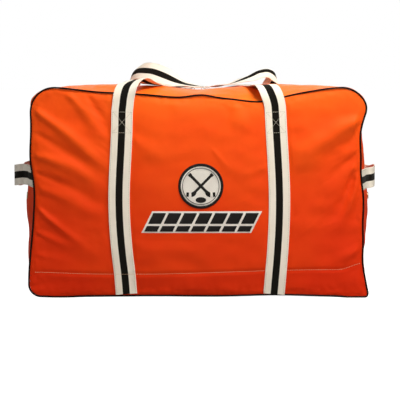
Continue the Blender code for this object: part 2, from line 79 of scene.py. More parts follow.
VENT_Y, VENT_Z = 0.075, 0.238
VENT_HOLE = 0.0050  # radius of the hole in the cloth
CREST = (0.007, 0.270)
CREST_R = 0.054
BAR = (0.009, 0.184)
BAR_HALF, BAR_HALF_HIGH = 0.145, 0.027

FRONT_BACK = (("front", -1), ("back", 1))
LEFT_RIGHT = (("left", -1), ("right", 1))
UP = (0, 0, 1)


# Small numeric helpers -----------------------------------------------------------------------
def bell(t):
    """A soft bump: 1 at 0 and nearly gone at 2."""
    return np.exp(-(t**2))


def stack(*columns):
    """The columns side by side along a new last axis, each as large as the largest."""
    return np.stack(np.broadcast_arrays(*columns), axis=-1)


def bumps(t, waves):
    """A sum of soft bumps, each (middle, half width, height)."""
    return sum((height * bell((t - middle) / wide) for middle, wide, height in waves), np.zeros_like(t))


def smooth(t):
    t = np.clip(t, 0.0, 1.0)
    return t * t * (3 - 2 * t)


def around(count):
    """Evenly spaced angles of a full turn."""
    return np.linspace(0, 2 * np.pi, count, endpoint=False)


def blunt(wave, power):
    """A sine or cosine with its size raised to a power, which squares off the outline it draws."""
    return np.sign(wave) * np.abs(wave) ** power


def grain(points, scale, seed, tighter=(1, 1, 1)):
    """Smooth noise from -1 to 1 over an array of points, tighter or looser along each axis."""
    shift = Vector((seed * 7.31, seed * 3.17, seed * 5.53))
    rows = points.reshape(-1, 3) * tighter
    return np.array([noise.noise(Vector(p) / scale + shift) for p in rows]).reshape(points.shape[:-1])


def through(knots, steps):
    """Points of a Catmull-Rom curve through the rows of knots."""
    knots = np.asarray(knots, float)
    padded = np.vstack([2 * knots[0] - knots[1], knots, 2 * knots[-1] - knots[-2]])
    t = (np.arange(steps) / steps)[:, None]
    rows = [
        0.5 * (2 * b + (c - a) * t + (2 * a - 5 * b + 4 * c - d) * t**2 + (3 * b - a - 3 * c + d) * t**3)
        for a, b, c, d in zip(padded, padded[1:], padded[2:], padded[3:])
    ]
    return np.vstack(rows + [knots[-1:]])


def lengths(points):
    return np.concatenate([[0], np.cumsum(np.linalg.norm(np.diff(points, axis=0), axis=1))])


def evenly(points, count, keys=None):
    """The polyline as count points, evenly spaced as measured over its first keys columns."""
    along = lengths(points[:, :keys])
    wanted = np.linspace(0, along[-1], count)
    return np.stack([np.interp(wanted, along, column) for column in points.T], axis=1)


def resample(points, spacing, keys=3):
    """The polyline with about that spacing."""
    return evenly(points, max(2, int(round(lengths(points[:, :keys])[-1] / spacing)) + 1), keys)


def unit(rows):
    return rows / np.maximum(np.linalg.norm(rows, axis=-1, keepdims=True), 1e-12)


def heading(line, closed=False):
    """The unit direction of a line at each of its points."""
    steps = np.roll(line, -1, axis=0) - np.roll(line, 1, axis=0) if closed else np.gradient(line, axis=0)
    return unit(steps)


def swept(path, radius, side, up, sides):
    """A circle of points round each point of a path, in the plane of side and up."""
    turn = around(sides)[None, :, None]
    return path[:, None] + radius * (np.cos(turn) * side + np.sin(turn) * up)


# Shape of the stuffed bag --------------------------------------------------------------------
def share(z):
    return np.clip((z - LOW) / (TOP - LOW), 0, 1)


def half_width(z, waves):
    return HALF * (1 - WAIST * np.sin(np.pi * share(z)) ** 2) + bumps(z, waves)


def half_at(x, z, face):
    return np.where(x < 0, half_width(z, face.left_waves), half_width(z, face.right_waves))


def seam_top(x):
    return TOP - SAG * np.clip(1 - (x / HALF) ** 2, 0, None) ** 1.5


def warp(x, z, face):
    """From the plain rounded rectangle to the panel of the stuffed bag."""
    half = half_at(x, z, face)
    up = share(z)
    top, bottom = seam_top(x) - TOP + bumps(x, face.top_waves), bumps(x, face.bottom_waves)
    return x * half / HALF, z + (top * up**4 + bottom * (1 - up) ** 4)


def ridge(x):
    """The zipper's line."""
    inside = np.clip(1 - (x / ZIP_HALF) ** 2, 0, None)
    outside = np.clip((np.abs(x) - ZIP_HALF) / (HALF - CORNER_TOP - ZIP_HALF), 0, 1)
    return TOP + 0.004 - 0.008 * inside**2 - 0.002 * outside


def ridge_at(x):
    return float(ridge(np.array(x)))


def arc(cx, cz, radius, start, count):
    turn = np.radians(start) + np.linspace(0, np.pi / 2, count + 1)
    return stack(cx + radius * np.cos(turn), cz + radius * np.sin(turn))


def straight(start, stop, count):
    return np.linspace(start, stop, count + 1)[1:-1]


def plain_outline(right, left):
    """The plain seam, anticlockwise from the foot of the bottom right corner, and where its parts start."""
    top = CORNER_TOP
    stretches = {
        "low_right": arc(HALF - right, LOW + right, right, -90, 12),
        "right": straight((HALF, LOW + right), (HALF, TOP - top), 64),
        "top_right": arc(HALF - top, TOP - top, top, 0, 20),
        "right_shoulder": straight((HALF - top, TOP), (ZIP_HALF, TOP), 8),
        "zip": np.linspace((ZIP_HALF, TOP), (-ZIP_HALF, TOP), 121),
        "left_shoulder": straight((-ZIP_HALF, TOP), (-HALF + top, TOP), 8),
        "top_left": arc(-HALF + top, TOP - top, top, 90, 20),
        "left": straight((-HALF, TOP - top), (-HALF, LOW + left), 64),
        "low_left": arc(-HALF + left, LOW + left, left, 180, 12),
        "bottom": straight((-HALF + left, LOW), (HALF - right, LOW), 120),
    }
    starts, at = {}, 0
    for name, points in stretches.items():
        starts[name] = at
        at += len(points)
    starts["end"] = at
    return np.vstack(list(stretches.values())), starts


class Face:
    """One big panel: how its seam strays from the plain rounded outline, and its folds."""

    def __init__(self, name, sign, top, left, right, bottom, corners, folds):
        self.name, self.sign, self.folds = name, sign, folds
        self.top_waves, self.left_waves, self.right_waves, self.bottom_waves = top, left, right, bottom
        self.plain, self.starts = plain_outline(*corners)
        x, z = warp(self.plain[:, 0], self.plain[:, 1], self)
        self.seam = stack(x, z)


# Each fold: where it starts at a seam, where it dies out, half width, height; some with a bend and sharpness.
FRONT_FOLDS = (
    ((-0.392, 0.452), (-0.205, 0.300), 0.015, 0.0080, 0.006),
    ((-0.396, 0.400), (-0.215, 0.283), 0.013, -0.0040, 0.004),
    ((-0.398, 0.345), (-0.215, 0.262), 0.016, 0.0060, 0.012),
    ((-0.385, 0.300), (-0.215, 0.215), 0.012, -0.0036, 0.006),
    ((-0.388, 0.268), (-0.220, 0.190), 0.015, 0.0040, 0.004),
    ((-0.388, 0.219), (-0.262, 0.122), 0.010, 0.0055, -0.004, 0.9),
    ((-0.386, 0.160), (-0.300, 0.120), 0.009, 0.0026),
    ((-0.310, 0.490), (-0.222, 0.375), 0.014, 0.0052, 0.006),
    ((-0.262, 0.484), (-0.212, 0.390), 0.011, -0.0034, 0.004),
    ((-0.390, 0.105), (-0.290, 0.085), 0.011, 0.0020),
    ((0.036, 0.358), (0.075, 0.305), 0.007, 0.0013),
    ((-0.155, 0.385), (-0.080, 0.330), 0.018, 0.0024),
    ((0.085, 0.465), (0.120, 0.395), 0.022, 0.0034),
    ((-0.060, 0.475), (-0.020, 0.415), 0.024, 0.0028),
    ((0.165, 0.315), (0.090, 0.290), 0.013, 0.0016),
    ((-0.140, 0.120), (0.060, 0.100), 0.022, 0.0013),
    ((0.392, 0.430), (0.222, 0.310), 0.026, 0.0100, -0.012),
    ((0.386, 0.352), (0.300, 0.275), 0.011, -0.0030),
    ((0.388, 0.300), (0.335, 0.170), 0.010, 0.0052, 0.006, 0.9),
    ((0.372, 0.300), (0.316, 0.185), 0.012, -0.0040, 0.006),
    ((0.386, 0.330), (0.362, 0.300), 0.005, 0.0024),
    ((0.392, 0.120), (0.325, 0.085), 0.011, 0.0028),
    ((0.384, 0.400), (0.345, 0.355), 0.008, -0.0022),
)
BACK_FOLDS = (
    ((-0.390, 0.440), (-0.215, 0.300), 0.017, 0.0070, 0.006),
    ((-0.392, 0.335), (-0.235, 0.240), 0.014, 0.0046, 0.004),
    ((-0.385, 0.385), (-0.225, 0.270), 0.012, -0.0032, 0.004),
    ((0.392, 0.440), (0.220, 0.310), 0.020, 0.0078, -0.008),
    ((0.390, 0.335), (0.240, 0.215), 0.014, 0.0050, -0.004),
    ((0.388, 0.280), (0.250, 0.170), 0.011, -0.0032),
    ((0.388, 0.220), (0.270, 0.130), 0.010, 0.0050, 0.004, 0.9),
    ((-0.388, 0.200), (-0.290, 0.110), 0.010, 0.0044),
    ((-0.090, 0.475), (-0.010, 0.330), 0.022, 0.0036),
    ((0.110, 0.470), (0.030, 0.350), 0.020, 0.0032),
    ((-0.130, 0.060), (0.030, 0.130), 0.022, 0.0024),
)
FRONT = Face(
    "front",
    -1,
    top=((-0.325, 0.075, 0.0050), (-0.150, 0.090, 0.0055), (0.008, 0.036, 0.0078), (0.150, 0.062, -0.0125))
    + ((0.325, 0.070, 0.0055),),
    left=((0.440, 0.055, -0.0040), (0.330, 0.05, 0.0065), (0.190, 0.06, 0.0010), (0.075, 0.07, 0.0020)),
    right=((0.460, 0.022, 0.0030), (0.395, 0.050, -0.0110), (0.310, 0.05, -0.0030), (0.235, 0.05, 0.0060))
    + ((0.085, 0.04, -0.0060), (0.0, 0.028, 0.0050)),
    bottom=((0.185, 0.09, 0.0035), (-0.10, 0.10, 0.0012), (-0.33, 0.05, -0.0020), (0.385, 0.04, -0.0040)),
    corners=(0.009, 0.026),
    folds=FRONT_FOLDS,
)
BACK = Face(
    "back",
    1,
    top=((0.20, 0.08, 0.0040), (-0.05, 0.05, 0.0050), (-0.19, 0.06, -0.0060), (0.375, 0.05, -0.0130)),
    left=((0.36, 0.05, -0.0050), (0.20, 0.06, 0.0040)),
    right=((0.440, 0.06, -0.0130), (0.33, 0.05, 0.0020), (0.19, 0.06, -0.0040)),
    bottom=((-0.15, 0.09, 0.0025),),
    corners=(0.024, 0.020),
    folds=BACK_FOLDS,
)


def strap_line(z, side, face):
    """Middle of a strap at a height: each one bows a little."""
    z = np.asarray(z, float)
    if face is FRONT and side < 0:
        return -0.1795 - 0.0085 * bell((z - 0.235) / 0.13) + 0.0085 * bell(z / 0.09)
    if face is FRONT:
        return 0.1800 + 0.0145 * bell((z - 0.225) / 0.20) - 0.002 * bell(z / 0.06)
    return side * (STRAP_X - 0.004 + 0.006 * bell((z - 0.24) / 0.15))


def hem_line(x):
    """Height of the stitch line that holds the liner."""
    x = np.asarray(x, float)
    rise = 0.0580 + 0.0105 * smooth((x + 0.16) / 0.46) + 0.0040 * bell((x + 0.40) / 0.10)
    return rise + 0.016 * smooth((x - 0.335) / 0.065)


def fold(x, z, start, stop, wide, high, bend=0.0, sharp=1.0):
    """A soft ridge, or a valley when high is negative. It starts at a seam and dies out along its length."""
    a, b = np.array(start), np.array(stop)
    along = b - a
    length = np.linalg.norm(along)
    t = ((x - a[0]) * along[0] + (z - a[1]) * along[1]) / length**2
    off = ((x - a[0]) * -along[1] + (z - a[1]) * along[0]) / length
    off = off - bend * np.sin(np.pi * np.clip(t, 0, 1))
    spread = wide * (0.55 + 0.9 * np.clip(t, 0, 1))
    fade = smooth((t + 0.10) / 0.22) * smooth((1.12 - t) / 0.55)
    return high * fade * np.exp(-((np.abs(off) / spread) ** (2 * sharp)))


def stand_smooth(x, z, face):
    """How far the stuffed panel stands out of its seam plane, without its folds."""
    high = seam_top(x)
    half = half_at(x, z, face)
    across = np.clip(np.abs(x) / half, 0, 1)
    up = np.clip(np.abs(z - (LOW + high) / 2) / ((high - LOW) / 2), 0, 1)
    swell = np.clip((1 - across**2) * (1 - up**2), 0, None) ** 0.62
    groove = sum(0.0030 * bell((x - strap_line(z, s, face)) / 0.040) for s in (-1, 1))
    under = hem_line(x) - z
    tuck = 0.0016 * bell(under / 0.004) * (swell > 0)
    return CROWN * swell - groove * swell - tuck * np.clip(swell * 3, 0, 1)


def creases(x, z, face):
    """Fine slanted creases beside the straps, where the top corners pull at the cloth."""
    spots = grain(stack(x, z, face.sign * 5.0), 0.11, 91)
    aside = smooth((np.abs(x) - 0.195) / 0.03) * np.where(x < 0, 0.6, 0.3) * smooth(0.45 + 1.3 * spots)
    tilt = np.radians(36) * -np.sign(x)
    along = x * np.cos(tilt) - z * np.sin(tilt)
    off = x * np.sin(tilt) + z * np.cos(tilt)
    total = np.zeros_like(x)
    for long, short, high, seed in ((0.120, 0.020, 0.0011, 81), (0.070, 0.012, 0.0006, 85)):
        line = grain(stack(along / long, off / short, face.sign * 3.0), 1.0, seed)
        total += high * (bell(line / 0.16) - 0.45)
    return total * aside


def stand(x, z, face, to_edge):
    """The panel with its folds. They flatten under the straps, under the badge and at the seam."""
    clear = smooth((to_edge - 0.002) / 0.016)
    for s in (-1, 1):
        away = np.abs(x - strap_line(z, s, face)) - WEB / 2
        clear = clear * (0.05 + 0.95 * smooth((away + 0.002) / 0.012))
    if face is FRONT:
        badge = np.hypot((x - CREST[0]) / 0.075, (z - CREST[1]) / 0.075)
        bar = np.maximum(np.abs(x - BAR[0]) / 0.165, np.abs(z - BAR[1]) / 0.045)
        clear = clear * (0.25 + 0.75 * smooth((np.minimum(badge, bar) - 0.7) / 0.5))
    softer_left = 1.1 - 0.32 * smooth((-0.16 - x) / 0.04)
    raised = softer_left * sum(fold(x, z, *f) for f in face.folds) + creases(x, z, face)
    raised = raised * (0.35 + 0.65 * smooth((z - 0.03) / 0.08))
    flat = stack(x, z, 0.0)
    seed = 1 if face is FRONT else 2
    broad = grain(flat, 0.13, seed) * 0.0026 + grain(flat, 0.055, seed + 4, (1, 1.7, 1)) * 0.0019
    fine = grain(flat, 0.020, seed + 8, (1, 0.8, 1)) * 0.00040
    pucker = grain(flat, 0.012, seed + 12) * 0.0012 * bell(to_edge / 0.020) * smooth(to_edge / 0.004)
    return stand_smooth(x, z, face) + (raised + (broad + fine)) * clear + pucker


def distance_to(outline, x, z):
    """Distance of each (x, z) from the outline's points, taken some points at a time to save memory."""
    points, batch = stack(x.ravel(), z.ravel()), 40
    best = np.full(len(points), np.inf)
    for k in range(0, len(outline), batch):
        best = np.minimum(best, ((points[:, None] - outline[None, k : k + batch]) ** 2).sum(-1).min(1))
    return np.sqrt(best).reshape(x.shape)


def on_panel(face, x, z, lift=0.0):
    """Points on a big panel's outer face, lifted off it."""
    x, z = np.broadcast_arrays(np.asarray(x, float), np.asarray(z, float))
    out = FACE + stand(x, z, face, distance_to(face.seam, x, z)) + lift
    return stack(x, face.sign * out, z)


# Mesh builders -------------------------------------------------------------------------------
def mesh_object(name, vertices, faces, uv=None, attributes=()):
    mesh = bpy.data.meshes.new(name)
    mesh.from_pydata([tuple(v) for v in vertices], [], [tuple(int(i) for i in f) for f in faces])
    if uv is not None:
        layer = mesh.uv_layers.new(name="Metres")
        corners = np.empty(len(mesh.loops), np.int32)
        mesh.loops.foreach_get("vertex_index", corners)
        layer.data.foreach_set("uv", np.asarray(uv, np.float32)[corners].ravel())
    for key, values in attributes:
        layer = mesh.attributes.new(key, "FLOAT", "POINT")
        layer.data.foreach_set("value", np.asarray(values, np.float32).ravel())
    mesh.shade_smooth()
    mesh.update()
    obj = bpy.data.objects.new(name, mesh)
    bpy.context.scene.collection.objects.link(obj)
    return obj


def grid_faces(rows, columns, flip=False, around=False):
    index = np.arange(rows * columns).reshape(rows, columns)
    if around:
        index = np.hstack([index, index[:, :1]])
    quads = stack(index[:-1, :-1], index[:-1, 1:], index[1:, 1:], index[1:, :-1])
    return quads.reshape(-1, 4)[:, ::-1] if flip else quads.reshape(-1, 4)


def grid_mesh(name, points, uv, flip=False, attributes=()):
    """A mesh from a rows x columns x 3 grid, with a UV map in metres."""
    faces = grid_faces(*points.shape[:2], flip)
    return mesh_object(name, points.reshape(-1, 3), faces, uv.reshape(-1, 2), attributes)


def cloth_piece(name, points, uv, flip, wear_and_highlight, low):
    """A grid of coated cloth: its outer side on the grid, its backing inside."""
    # Its first tone is rubbing plus painted highlight, its second painted shade that darkens it low down.
    tones = [(key, np.broadcast_to(tone, points.shape[:2])) for key, tone in (("wear_and_highlight", wear_and_highlight), ("low", low))]
    obj = thicken(grid_mesh(name, points, uv, flip, tones), CLOTH, -1.0, 1)
    obj.data.materials.append(LOOKS["orange_vinyl"])
    obj.data.materials.append(BACKING)
    settle(obj)
    obj.data.set_sharp_from_angle(angle=math.radians(60))
    return obj


def thicken(obj, thickness, offset=0.0, inner=0):
    modifier = obj.modifiers.new("thickness", "SOLIDIFY")
    modifier.thickness, modifier.offset, modifier.material_offset = thickness, offset, inner
    return obj


def settle(obj):
    """Applies the object's modifiers."""
    bpy.context.view_layer.update()
    made = bpy.data.meshes.new_from_object(obj.evaluated_get(bpy.context.evaluated_depsgraph_get()))
    obj.modifiers.clear()
    obj.data = made


def dress(obj, look, *nodes):
    """The material of one name, and the CAD nodes that the piece stands for, which are hidden."""
    obj.data.materials.append(LOOKS[look])
    if nodes:
        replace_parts(obj, *nodes)
    return obj


def tube(name, path, radius, sides=10, closed=False):
    """A round tube along n x 3 points."""
    along = heading(path, closed)
    side = np.zeros_like(along)
    side[0] = unit(np.cross(along[0], [0.3, 0.2, 0.9]))
    for k in range(1, len(path)):
        side[k] = unit(side[k - 1] - along[k] * (side[k - 1] @ along[k]))
    up = np.cross(along, side)
    rings = swept(path, np.reshape(radius, (-1, 1, 1)), side[:, None], up[:, None], sides)
    uv = stack(lengths(path)[:, None], around(sides) / (2 * np.pi))
    faces = grid_faces(len(path) + closed, sides, around=True) % (len(path) * sides)
    return mesh_object(name, rings.reshape(-1, 3), faces, uv.reshape(-1, 2))


def ribbon(name, path, looks, curl=None):
    """Flat webbing. looks holds the way its outer face looks, curl the angles by which its two halves roll.
    U runs across it from 0 to 1, V along it in metres."""
    along = heading(path)
    side = unit(np.cross(along, looks))
    up = np.cross(side, along)
    inner = np.linspace(-WEB / 2 + WEB_EDGE, WEB / 2 - WEB_EDGE, 13)
    s = np.concatenate([[-WEB / 2], inner, [WEB / 2], inner[::-1]])
    h = np.concatenate([[0], np.full(13, WEB_THICK / 2), [0], np.full(13, -WEB_THICK / 2)])
    bend = np.zeros((len(path), 2)) if curl is None else curl
    bend = np.where(s[None, :] < 0, bend[:, :1], bend[:, 1:])
    turn = np.abs(bend) * np.abs(s)[None, :] * 2 / WEB + 1e-9
    reach = s[None, :] * np.sin(turn) / turn
    rise = h[None, :] + np.sign(bend) * np.abs(s)[None, :] * (1 - np.cos(turn)) / turn
    rings = path[:, None] + reach[:, :, None] * side[:, None] + rise[:, :, None] * up[:, None]
    count, loop = len(path), len(s)
    faces = [tuple(f) for f in grid_faces(count, loop, flip=True, around=True)]
    faces += [tuple(range(loop)), tuple(range(count * loop - 1, (count - 1) * loop - 1, -1))]
    uv = stack(s / WEB + 0.5, lengths(path)[:, None])
    return mend(mesh_object(name, rings.reshape(-1, 3), faces, uv.reshape(-1, 2)), 50)


def mend(obj, sharp, bevel=0.0):
    """Outward normals, rounded edges, and smooth shading up to an angle."""
    bm = bmesh.new()
    bm.from_mesh(obj.data)
    bmesh.ops.recalc_face_normals(bm, faces=bm.faces)
    if bevel:
        edges = [e for e in bm.edges if e.is_manifold and e.calc_face_angle() > math.radians(35)]
        bmesh.ops.bevel(bm, geom=edges, offset=bevel, segments=2, profile=0.6, affect="EDGES")
    bm.to_mesh(obj.data)
    bm.free()
    obj.data.shade_smooth()
    obj.data.set_sharp_from_angle(angle=math.radians(sharp))
    return obj


def slab(name, outline, thick, at, bevel, window=None):
    """A flat plate from a 2D outline, its top at the frame's local Z = 0, with a window of as many points."""
    rings = [outline] if window is None else [outline, window]
    count = len(outline)
    vertices = [at @ Vector((u, v, h)) for ring in rings for h in (0, -thick) for u, v in ring]
    wall = [(k, (k + 1) % count, count + (k + 1) % count, count + k) for k in range(count)]
    if window is None:
        faces = wall + [tuple(range(count)), tuple(range(2 * count - 1, count - 1, -1))]
    else:
        inner = [tuple(i + 2 * count for i in reversed(f)) for f in wall]
        lids = [(k, (k + 1) % count, 2 * count + (k + 1) % count, 2 * count + k) for k in range(count)]
        faces = wall + inner + lids + [tuple(i + count for i in reversed(f)) for f in lids]
    return mend(mesh_object(name, vertices, faces), 40, bevel)


def turned(name, profile, at):
    """A shape turned about the frame's local Z from a closed profile of (radius, height)."""
    turn, profile = around(40), np.asarray(profile)
    radius, height = profile[:, :1], profile[:, 1:]
    rings = stack(radius * np.cos(turn), radius * np.sin(turn), height)
    vertices = [at @ Vector(v) for v in rings.reshape(-1, 3)]
    faces = grid_faces(len(profile) + 1, len(turn), around=True) % len(vertices)
    return mend(mesh_object(name, vertices, faces), 45)


def rounded(half_x, half_y, radius, steps=6):
    """A rounded rectangle, anticlockwise."""
    points = []
    for quarter, (sx, sy) in enumerate(((1, 1), (-1, 1), (-1, -1), (1, -1))):
        for k in range(steps + 1):
            a = (quarter + k / steps) * math.pi / 2
            x, y = sx * (half_x - radius), sy * (half_y - radius)
            points.append((x + radius * math.cos(a), y + radius * math.sin(a)))
    return points


# One stitch, from end to end: place along it, how thick, and how deep it sinks, in shares of the sizes below.
STITCH = np.array(((-0.5, 0.35, -1.1), (-0.32, 1.0, 0.1), (0.32, 1.0, 0.1), (0.5, 0.35, -1.1)))
STITCH_PITCH, STITCH_LENGTH = 0.0042, 0.0031
THREAD_R, THREAD_LIFT = 0.00045, 0.0001


def stitches(name, rows, thread):
    """Rows of thread stitches as one mesh. Each row is its n x 3 points, and the way or ways it looks."""
    where, wide, sink = STITCH.T[:, :, None]
    vertices, faces = [], []
    for points, looks in rows:
        both = resample(np.hstack([points, np.broadcast_to(looks, points.shape)]), STITCH_PITCH)
        middle, gap = (both[1:, :3] + both[:-1, :3]) / 2, both[1:, :3] - both[:-1, :3]
        along, look = unit(gap), unit(both[1:, 3:] + both[:-1, 3:])
        side = unit(np.cross(along, look))
        for m, t, u, s in zip(middle, along, look, side):
            path = m + t * STITCH_LENGTH * where + u * (THREAD_LIFT + THREAD_R * sink)
            faces += [tuple(f) for f in grid_faces(len(STITCH), 6, around=True) + len(vertices)]
            vertices += list(swept(path, THREAD_R * wide[..., None], s, u, 6).reshape(-1, 3))
    obj = mesh_object(name, vertices, faces)
    obj.data.materials.append(thread)
    return obj


def sew(name, rows, thread):
    """Stitches that ride on the bag."""
    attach(stitches(name, rows, thread), "bag")


# Materials -----------------------------------------------------------------------------------
def srgb(red, green, blue):
    """A colour given as it looks, 0 to 255, as linear values."""
    values = [c / 255 / 12.92 if c <= 10 else ((c / 255 + 0.055) / 1.055) ** 2.4 for c in (red, green, blue)]
    return (*values, 1.0)


class Shade:
    """A short way to write node trees. A value is a number, a colour or another node's output."""

    def __init__(self, name):
        self.material = bpy.data.materials.new(name)
        self.material.use_nodes = True
        self.tree = self.material.node_tree
        self.shader = self.tree.nodes["Principled BSDF"]

    def put(self, socket, value):
        if isinstance(value, bpy.types.NodeSocket):
            self.tree.links.new(value, socket)
        elif value is not None:
            socket.default_value = value

    def node(self, kind, *values, **named):
        """A new node, with values for its inputs in order or by name."""
        made = self.tree.nodes.new("ShaderNode" + kind)
        for key, value in [*enumerate(values), *named.items()]:
            self.put(made.inputs[key], value)
        return made

    def math(self, operation, *values):
        made = self.node("Math", *values)
        made.operation = operation
        return made.outputs[0]

    def times(self, one, other):
        return self.math("MULTIPLY", one, other)

    def mix(self, factor, *colours):
        """Between two colours, each a node's output or red, green and blue as they look."""
        made = self.node("Mix", factor)
        made.data_type, made.clamp_factor = "RGBA", True
        for socket, colour in zip((made.inputs[6], made.inputs[7]), colours):
            self.put(socket, srgb(*colour) if isinstance(colour, tuple) else colour)
        return made.outputs[2]

    def mottled(self, scale, *colours):
        return self.mix(self.noise(scale), *colours)

    def ramp(self, value, low, high, out_low=0.0, out_high=1.0):
        made = self.node("MapRange", value, low, high, out_low, out_high)
        made.interpolation_type = "SMOOTHSTEP"
        return made.outputs[0]

    def place(self):
        return self.node("TexCoord").outputs["Object"]

    def split(self, vector):
        return self.node("SeparateXYZ", vector).outputs

    def uv(self):
        made = self.node("UVMap")
        made.uv_map = "Metres"
        return self.split(made.outputs[0])[:2]

    def noise(self, scale, detail=3.0, rough=0.55):
        made = self.node("TexNoise", Scale=scale, Detail=detail, Roughness=rough, Vector=self.place())
        return made.outputs["Fac"]

    def attribute(self, name):
        made = self.node("Attribute")
        made.attribute_name = name
        return made.outputs["Fac"]

    def bump(self, height, strength, distance, normal=None):
        made = self.node("Bump", Strength=strength, Distance=distance, Height=height, Normal=normal)
        return made.outputs[0]

    def waves(self, value, period):
        """A sine from -1 to 1 with that period."""
        return self.math("SINE", self.times(value, 2 * math.pi / period))

    def weave(self, pitch_u, pitch_v, u=None, v=None):
        """A plain weave, -1 to 1, from the UV map unless u and v are given."""
        if u is None:
            u, v = self.uv()
        return self.times(self.waves(u, pitch_u), self.waves(v, pitch_v))

    def finish(self, **values):
        for key, value in values.items():
            self.put(self.shader.inputs[key.replace("_", " ")], value)
        return self.material


def orange_vinyl():
    """Coated polyester: a faint weave under a satin skin; paler where it is rubbed and where highlight is
    painted on the top and the fold ridges; darker low down, where shade is painted.
    """
    s = Shade("orange_vinyl")
    clouds = s.noise(8.0, 4.0, 0.6)
    colour = s.mix(s.ramp(clouds, 0.32, 0.70), (249, 84, 14), (241, 74, 10))
    # Painted highlight: a paler, yellower orange on the top, on fold ridges and raised wrinkles; near the
    # seams it stands for rubbing.
    colour = s.mix(s.times(s.attribute("wear_and_highlight"), 0.40), colour, (254, 122, 32))
    # The lower tone: painted shade towards the bottom and low on the sides, and darker below the hem stitch.
    colour = s.mix(s.attribute("low"), colour, (218, 45, 4))
    speck = s.ramp(s.noise(260.0, 2.0, 0.7), 0.66, 0.76)
    colour = s.mix(s.times(speck, 0.08), colour, (150, 34, 10))
    height = s.math("ADD", s.times(s.weave(0.0011, 0.0011), 0.35), s.noise(700.0, 3.0, 0.6))
    skin = s.bump(s.noise(45.0, 3.0, 0.5), 0.12, 0.002, s.bump(height, 0.16, 0.00035))
    rough = s.ramp(s.noise(30.0, 4.0, 0.6), 0.2, 0.8, 0.52, 0.64)
    return s.finish(Base_Color=colour, Roughness=rough, Normal=skin, Specular_IOR_Level=0.11)


def vinyl_backing():
    """The uncoated inner side of the panels."""
    s = Shade("orange_vinyl_backing")
    colour = s.mottled(60.0, (158, 54, 24), (180, 68, 32))
    bump = s.bump(s.weave(0.0011, 0.0011), 0.5, 0.0004)
    return s.finish(Base_Color=colour, Roughness=0.85, Normal=bump, Sheen_Weight=0.15)


def black_vinyl():
    s = Shade("piping_black")
    rub = s.ramp(s.noise(120.0, 3.0, 0.6), 0.55, 0.75)
    colour = s.mix(s.times(rub, 0.25), (16, 4, 2), (34, 12, 8))
    rough = s.ramp(s.noise(80.0), 0.3, 0.7, 0.48, 0.62)
    bump = s.bump(s.noise(900.0), 0.2, 0.0003)
    return s.finish(Base_Color=colour, Roughness=rough, Normal=bump, Specular_IOR_Level=0.12)


def striped_webbing():
    """Woven webbing: off-white with a black stripe along the middle third."""
    s = Shade("striped_webbing")
    u, v = s.uv()
    frayed = s.math("MULTIPLY_ADD", s.math("SUBTRACT", s.noise(900.0, 2.0), 0.5), 0.012, u)
    from_middle = s.math("ABSOLUTE", s.math("SUBTRACT", frayed, 0.5))
    soil = s.ramp(s.noise(14.0, 4.0, 0.65), 0.45, 0.8)
    pale = s.mix(s.times(soil, 0.25), (244, 240, 228), (224, 210, 188))
    dark = s.mottled(300.0, (9, 8, 5), (20, 18, 12))
    picks = s.times(s.waves(v, 0.0016), s.waves(u, 0.026))
    pale = s.mix(s.times(s.ramp(picks, -0.2, -0.95), 0.20), pale, (198, 182, 156))
    groove = s.math("ABSOLUTE", s.math("SUBTRACT", from_middle, 0.455))
    pale = s.mix(s.ramp(groove, 0.004, 0.009, 0.25, 0.0), pale, (190, 176, 150))
    colour = s.mix(s.ramp(from_middle, 0.160, 0.170, 1.0, 0.0), pale, dark)
    height = s.math("ADD", s.times(picks, 0.5), s.times(s.noise(500.0, 3.0), 0.4))
    s.finish(Base_Color=colour, Roughness=0.82, Normal=s.bump(height, 0.42, 0.0006))
    return s.finish(Sheen_Weight=0.03, Sheen_Roughness=0.5, Specular_IOR_Level=0.12)


def thread(name, colour, dark):
    s = Shade(name)
    bump = s.bump(s.noise(2600.0), 0.3, 0.0002)
    return s.finish(Base_Color=s.mottled(900.0, colour, dark), Roughness=0.55, Sheen_Weight=0.15, Normal=bump)


def zipper_tape():
    s = Shade("zipper_tape")
    weave = s.weave(0.0016, 0.0009)
    colour = s.mix(s.ramp(weave, -1.0, 1.0), (20, 19, 20), (44, 42, 42))
    return s.finish(Base_Color=colour, Roughness=0.85, Normal=s.bump(weave, 0.6, 0.0005), Sheen_Weight=0.2)


def zipper_coil():
    s = Shade("zipper_coil")
    colour = s.mottled(400.0, (20, 20, 21), (42, 41, 42))
    return s.finish(Base_Color=colour, Roughness=s.ramp(s.noise(200.0), 0.3, 0.7, 0.26, 0.45))


def metal(name, colour, dull, roughness):
    s = Shade(name)
    scratch = s.noise(350.0, 5.0, 0.7)
    colour = s.mix(s.ramp(scratch, 0.35, 0.75), colour, dull)
    rough = s.ramp(scratch, 0.3, 0.7, roughness, roughness + 0.22)
    bump = s.bump(s.noise(120.0), 0.06, 0.0006)
    return s.finish(Base_Color=colour, Roughness=rough, Normal=bump, Metallic=1.0)


def embroidery(name, colour, dark):
    """Slanted satin stitch."""
    s = Shade(name)
    x, _, z = s.split(s.place())
    lines = s.waves(s.math("ADD", x, z), 0.0014)
    colour = s.mix(s.ramp(lines, 0.2, -1.0, 0.0, 0.45), colour, dark)
    bump = s.bump(lines, 0.5, 0.0005)
    return s.finish(Base_Color=colour, Roughness=0.6, Normal=bump, Specular_IOR_Level=0.2)


def liner_cloth():
    s = Shade("liner")
    x, y, z = s.split(s.place())
    weave = s.weave(0.0018, 0.0018, x, s.math("ADD", y, z))
    colour = s.mottled(25.0, (40, 39, 41), (60, 58, 58))
    return s.finish(Base_Color=colour, Roughness=0.6, Normal=s.bump(weave, 0.5, 0.0006))


def fluted_board():
    s = Shade("board")
    flutes = s.waves(s.split(s.place())[1], 0.006)
    colour = s.mottled(30.0, (32, 32, 34), (52, 51, 53))
    return s.finish(Base_Color=colour, Roughness=0.5, Normal=s.bump(flutes, 0.5, 0.0012))


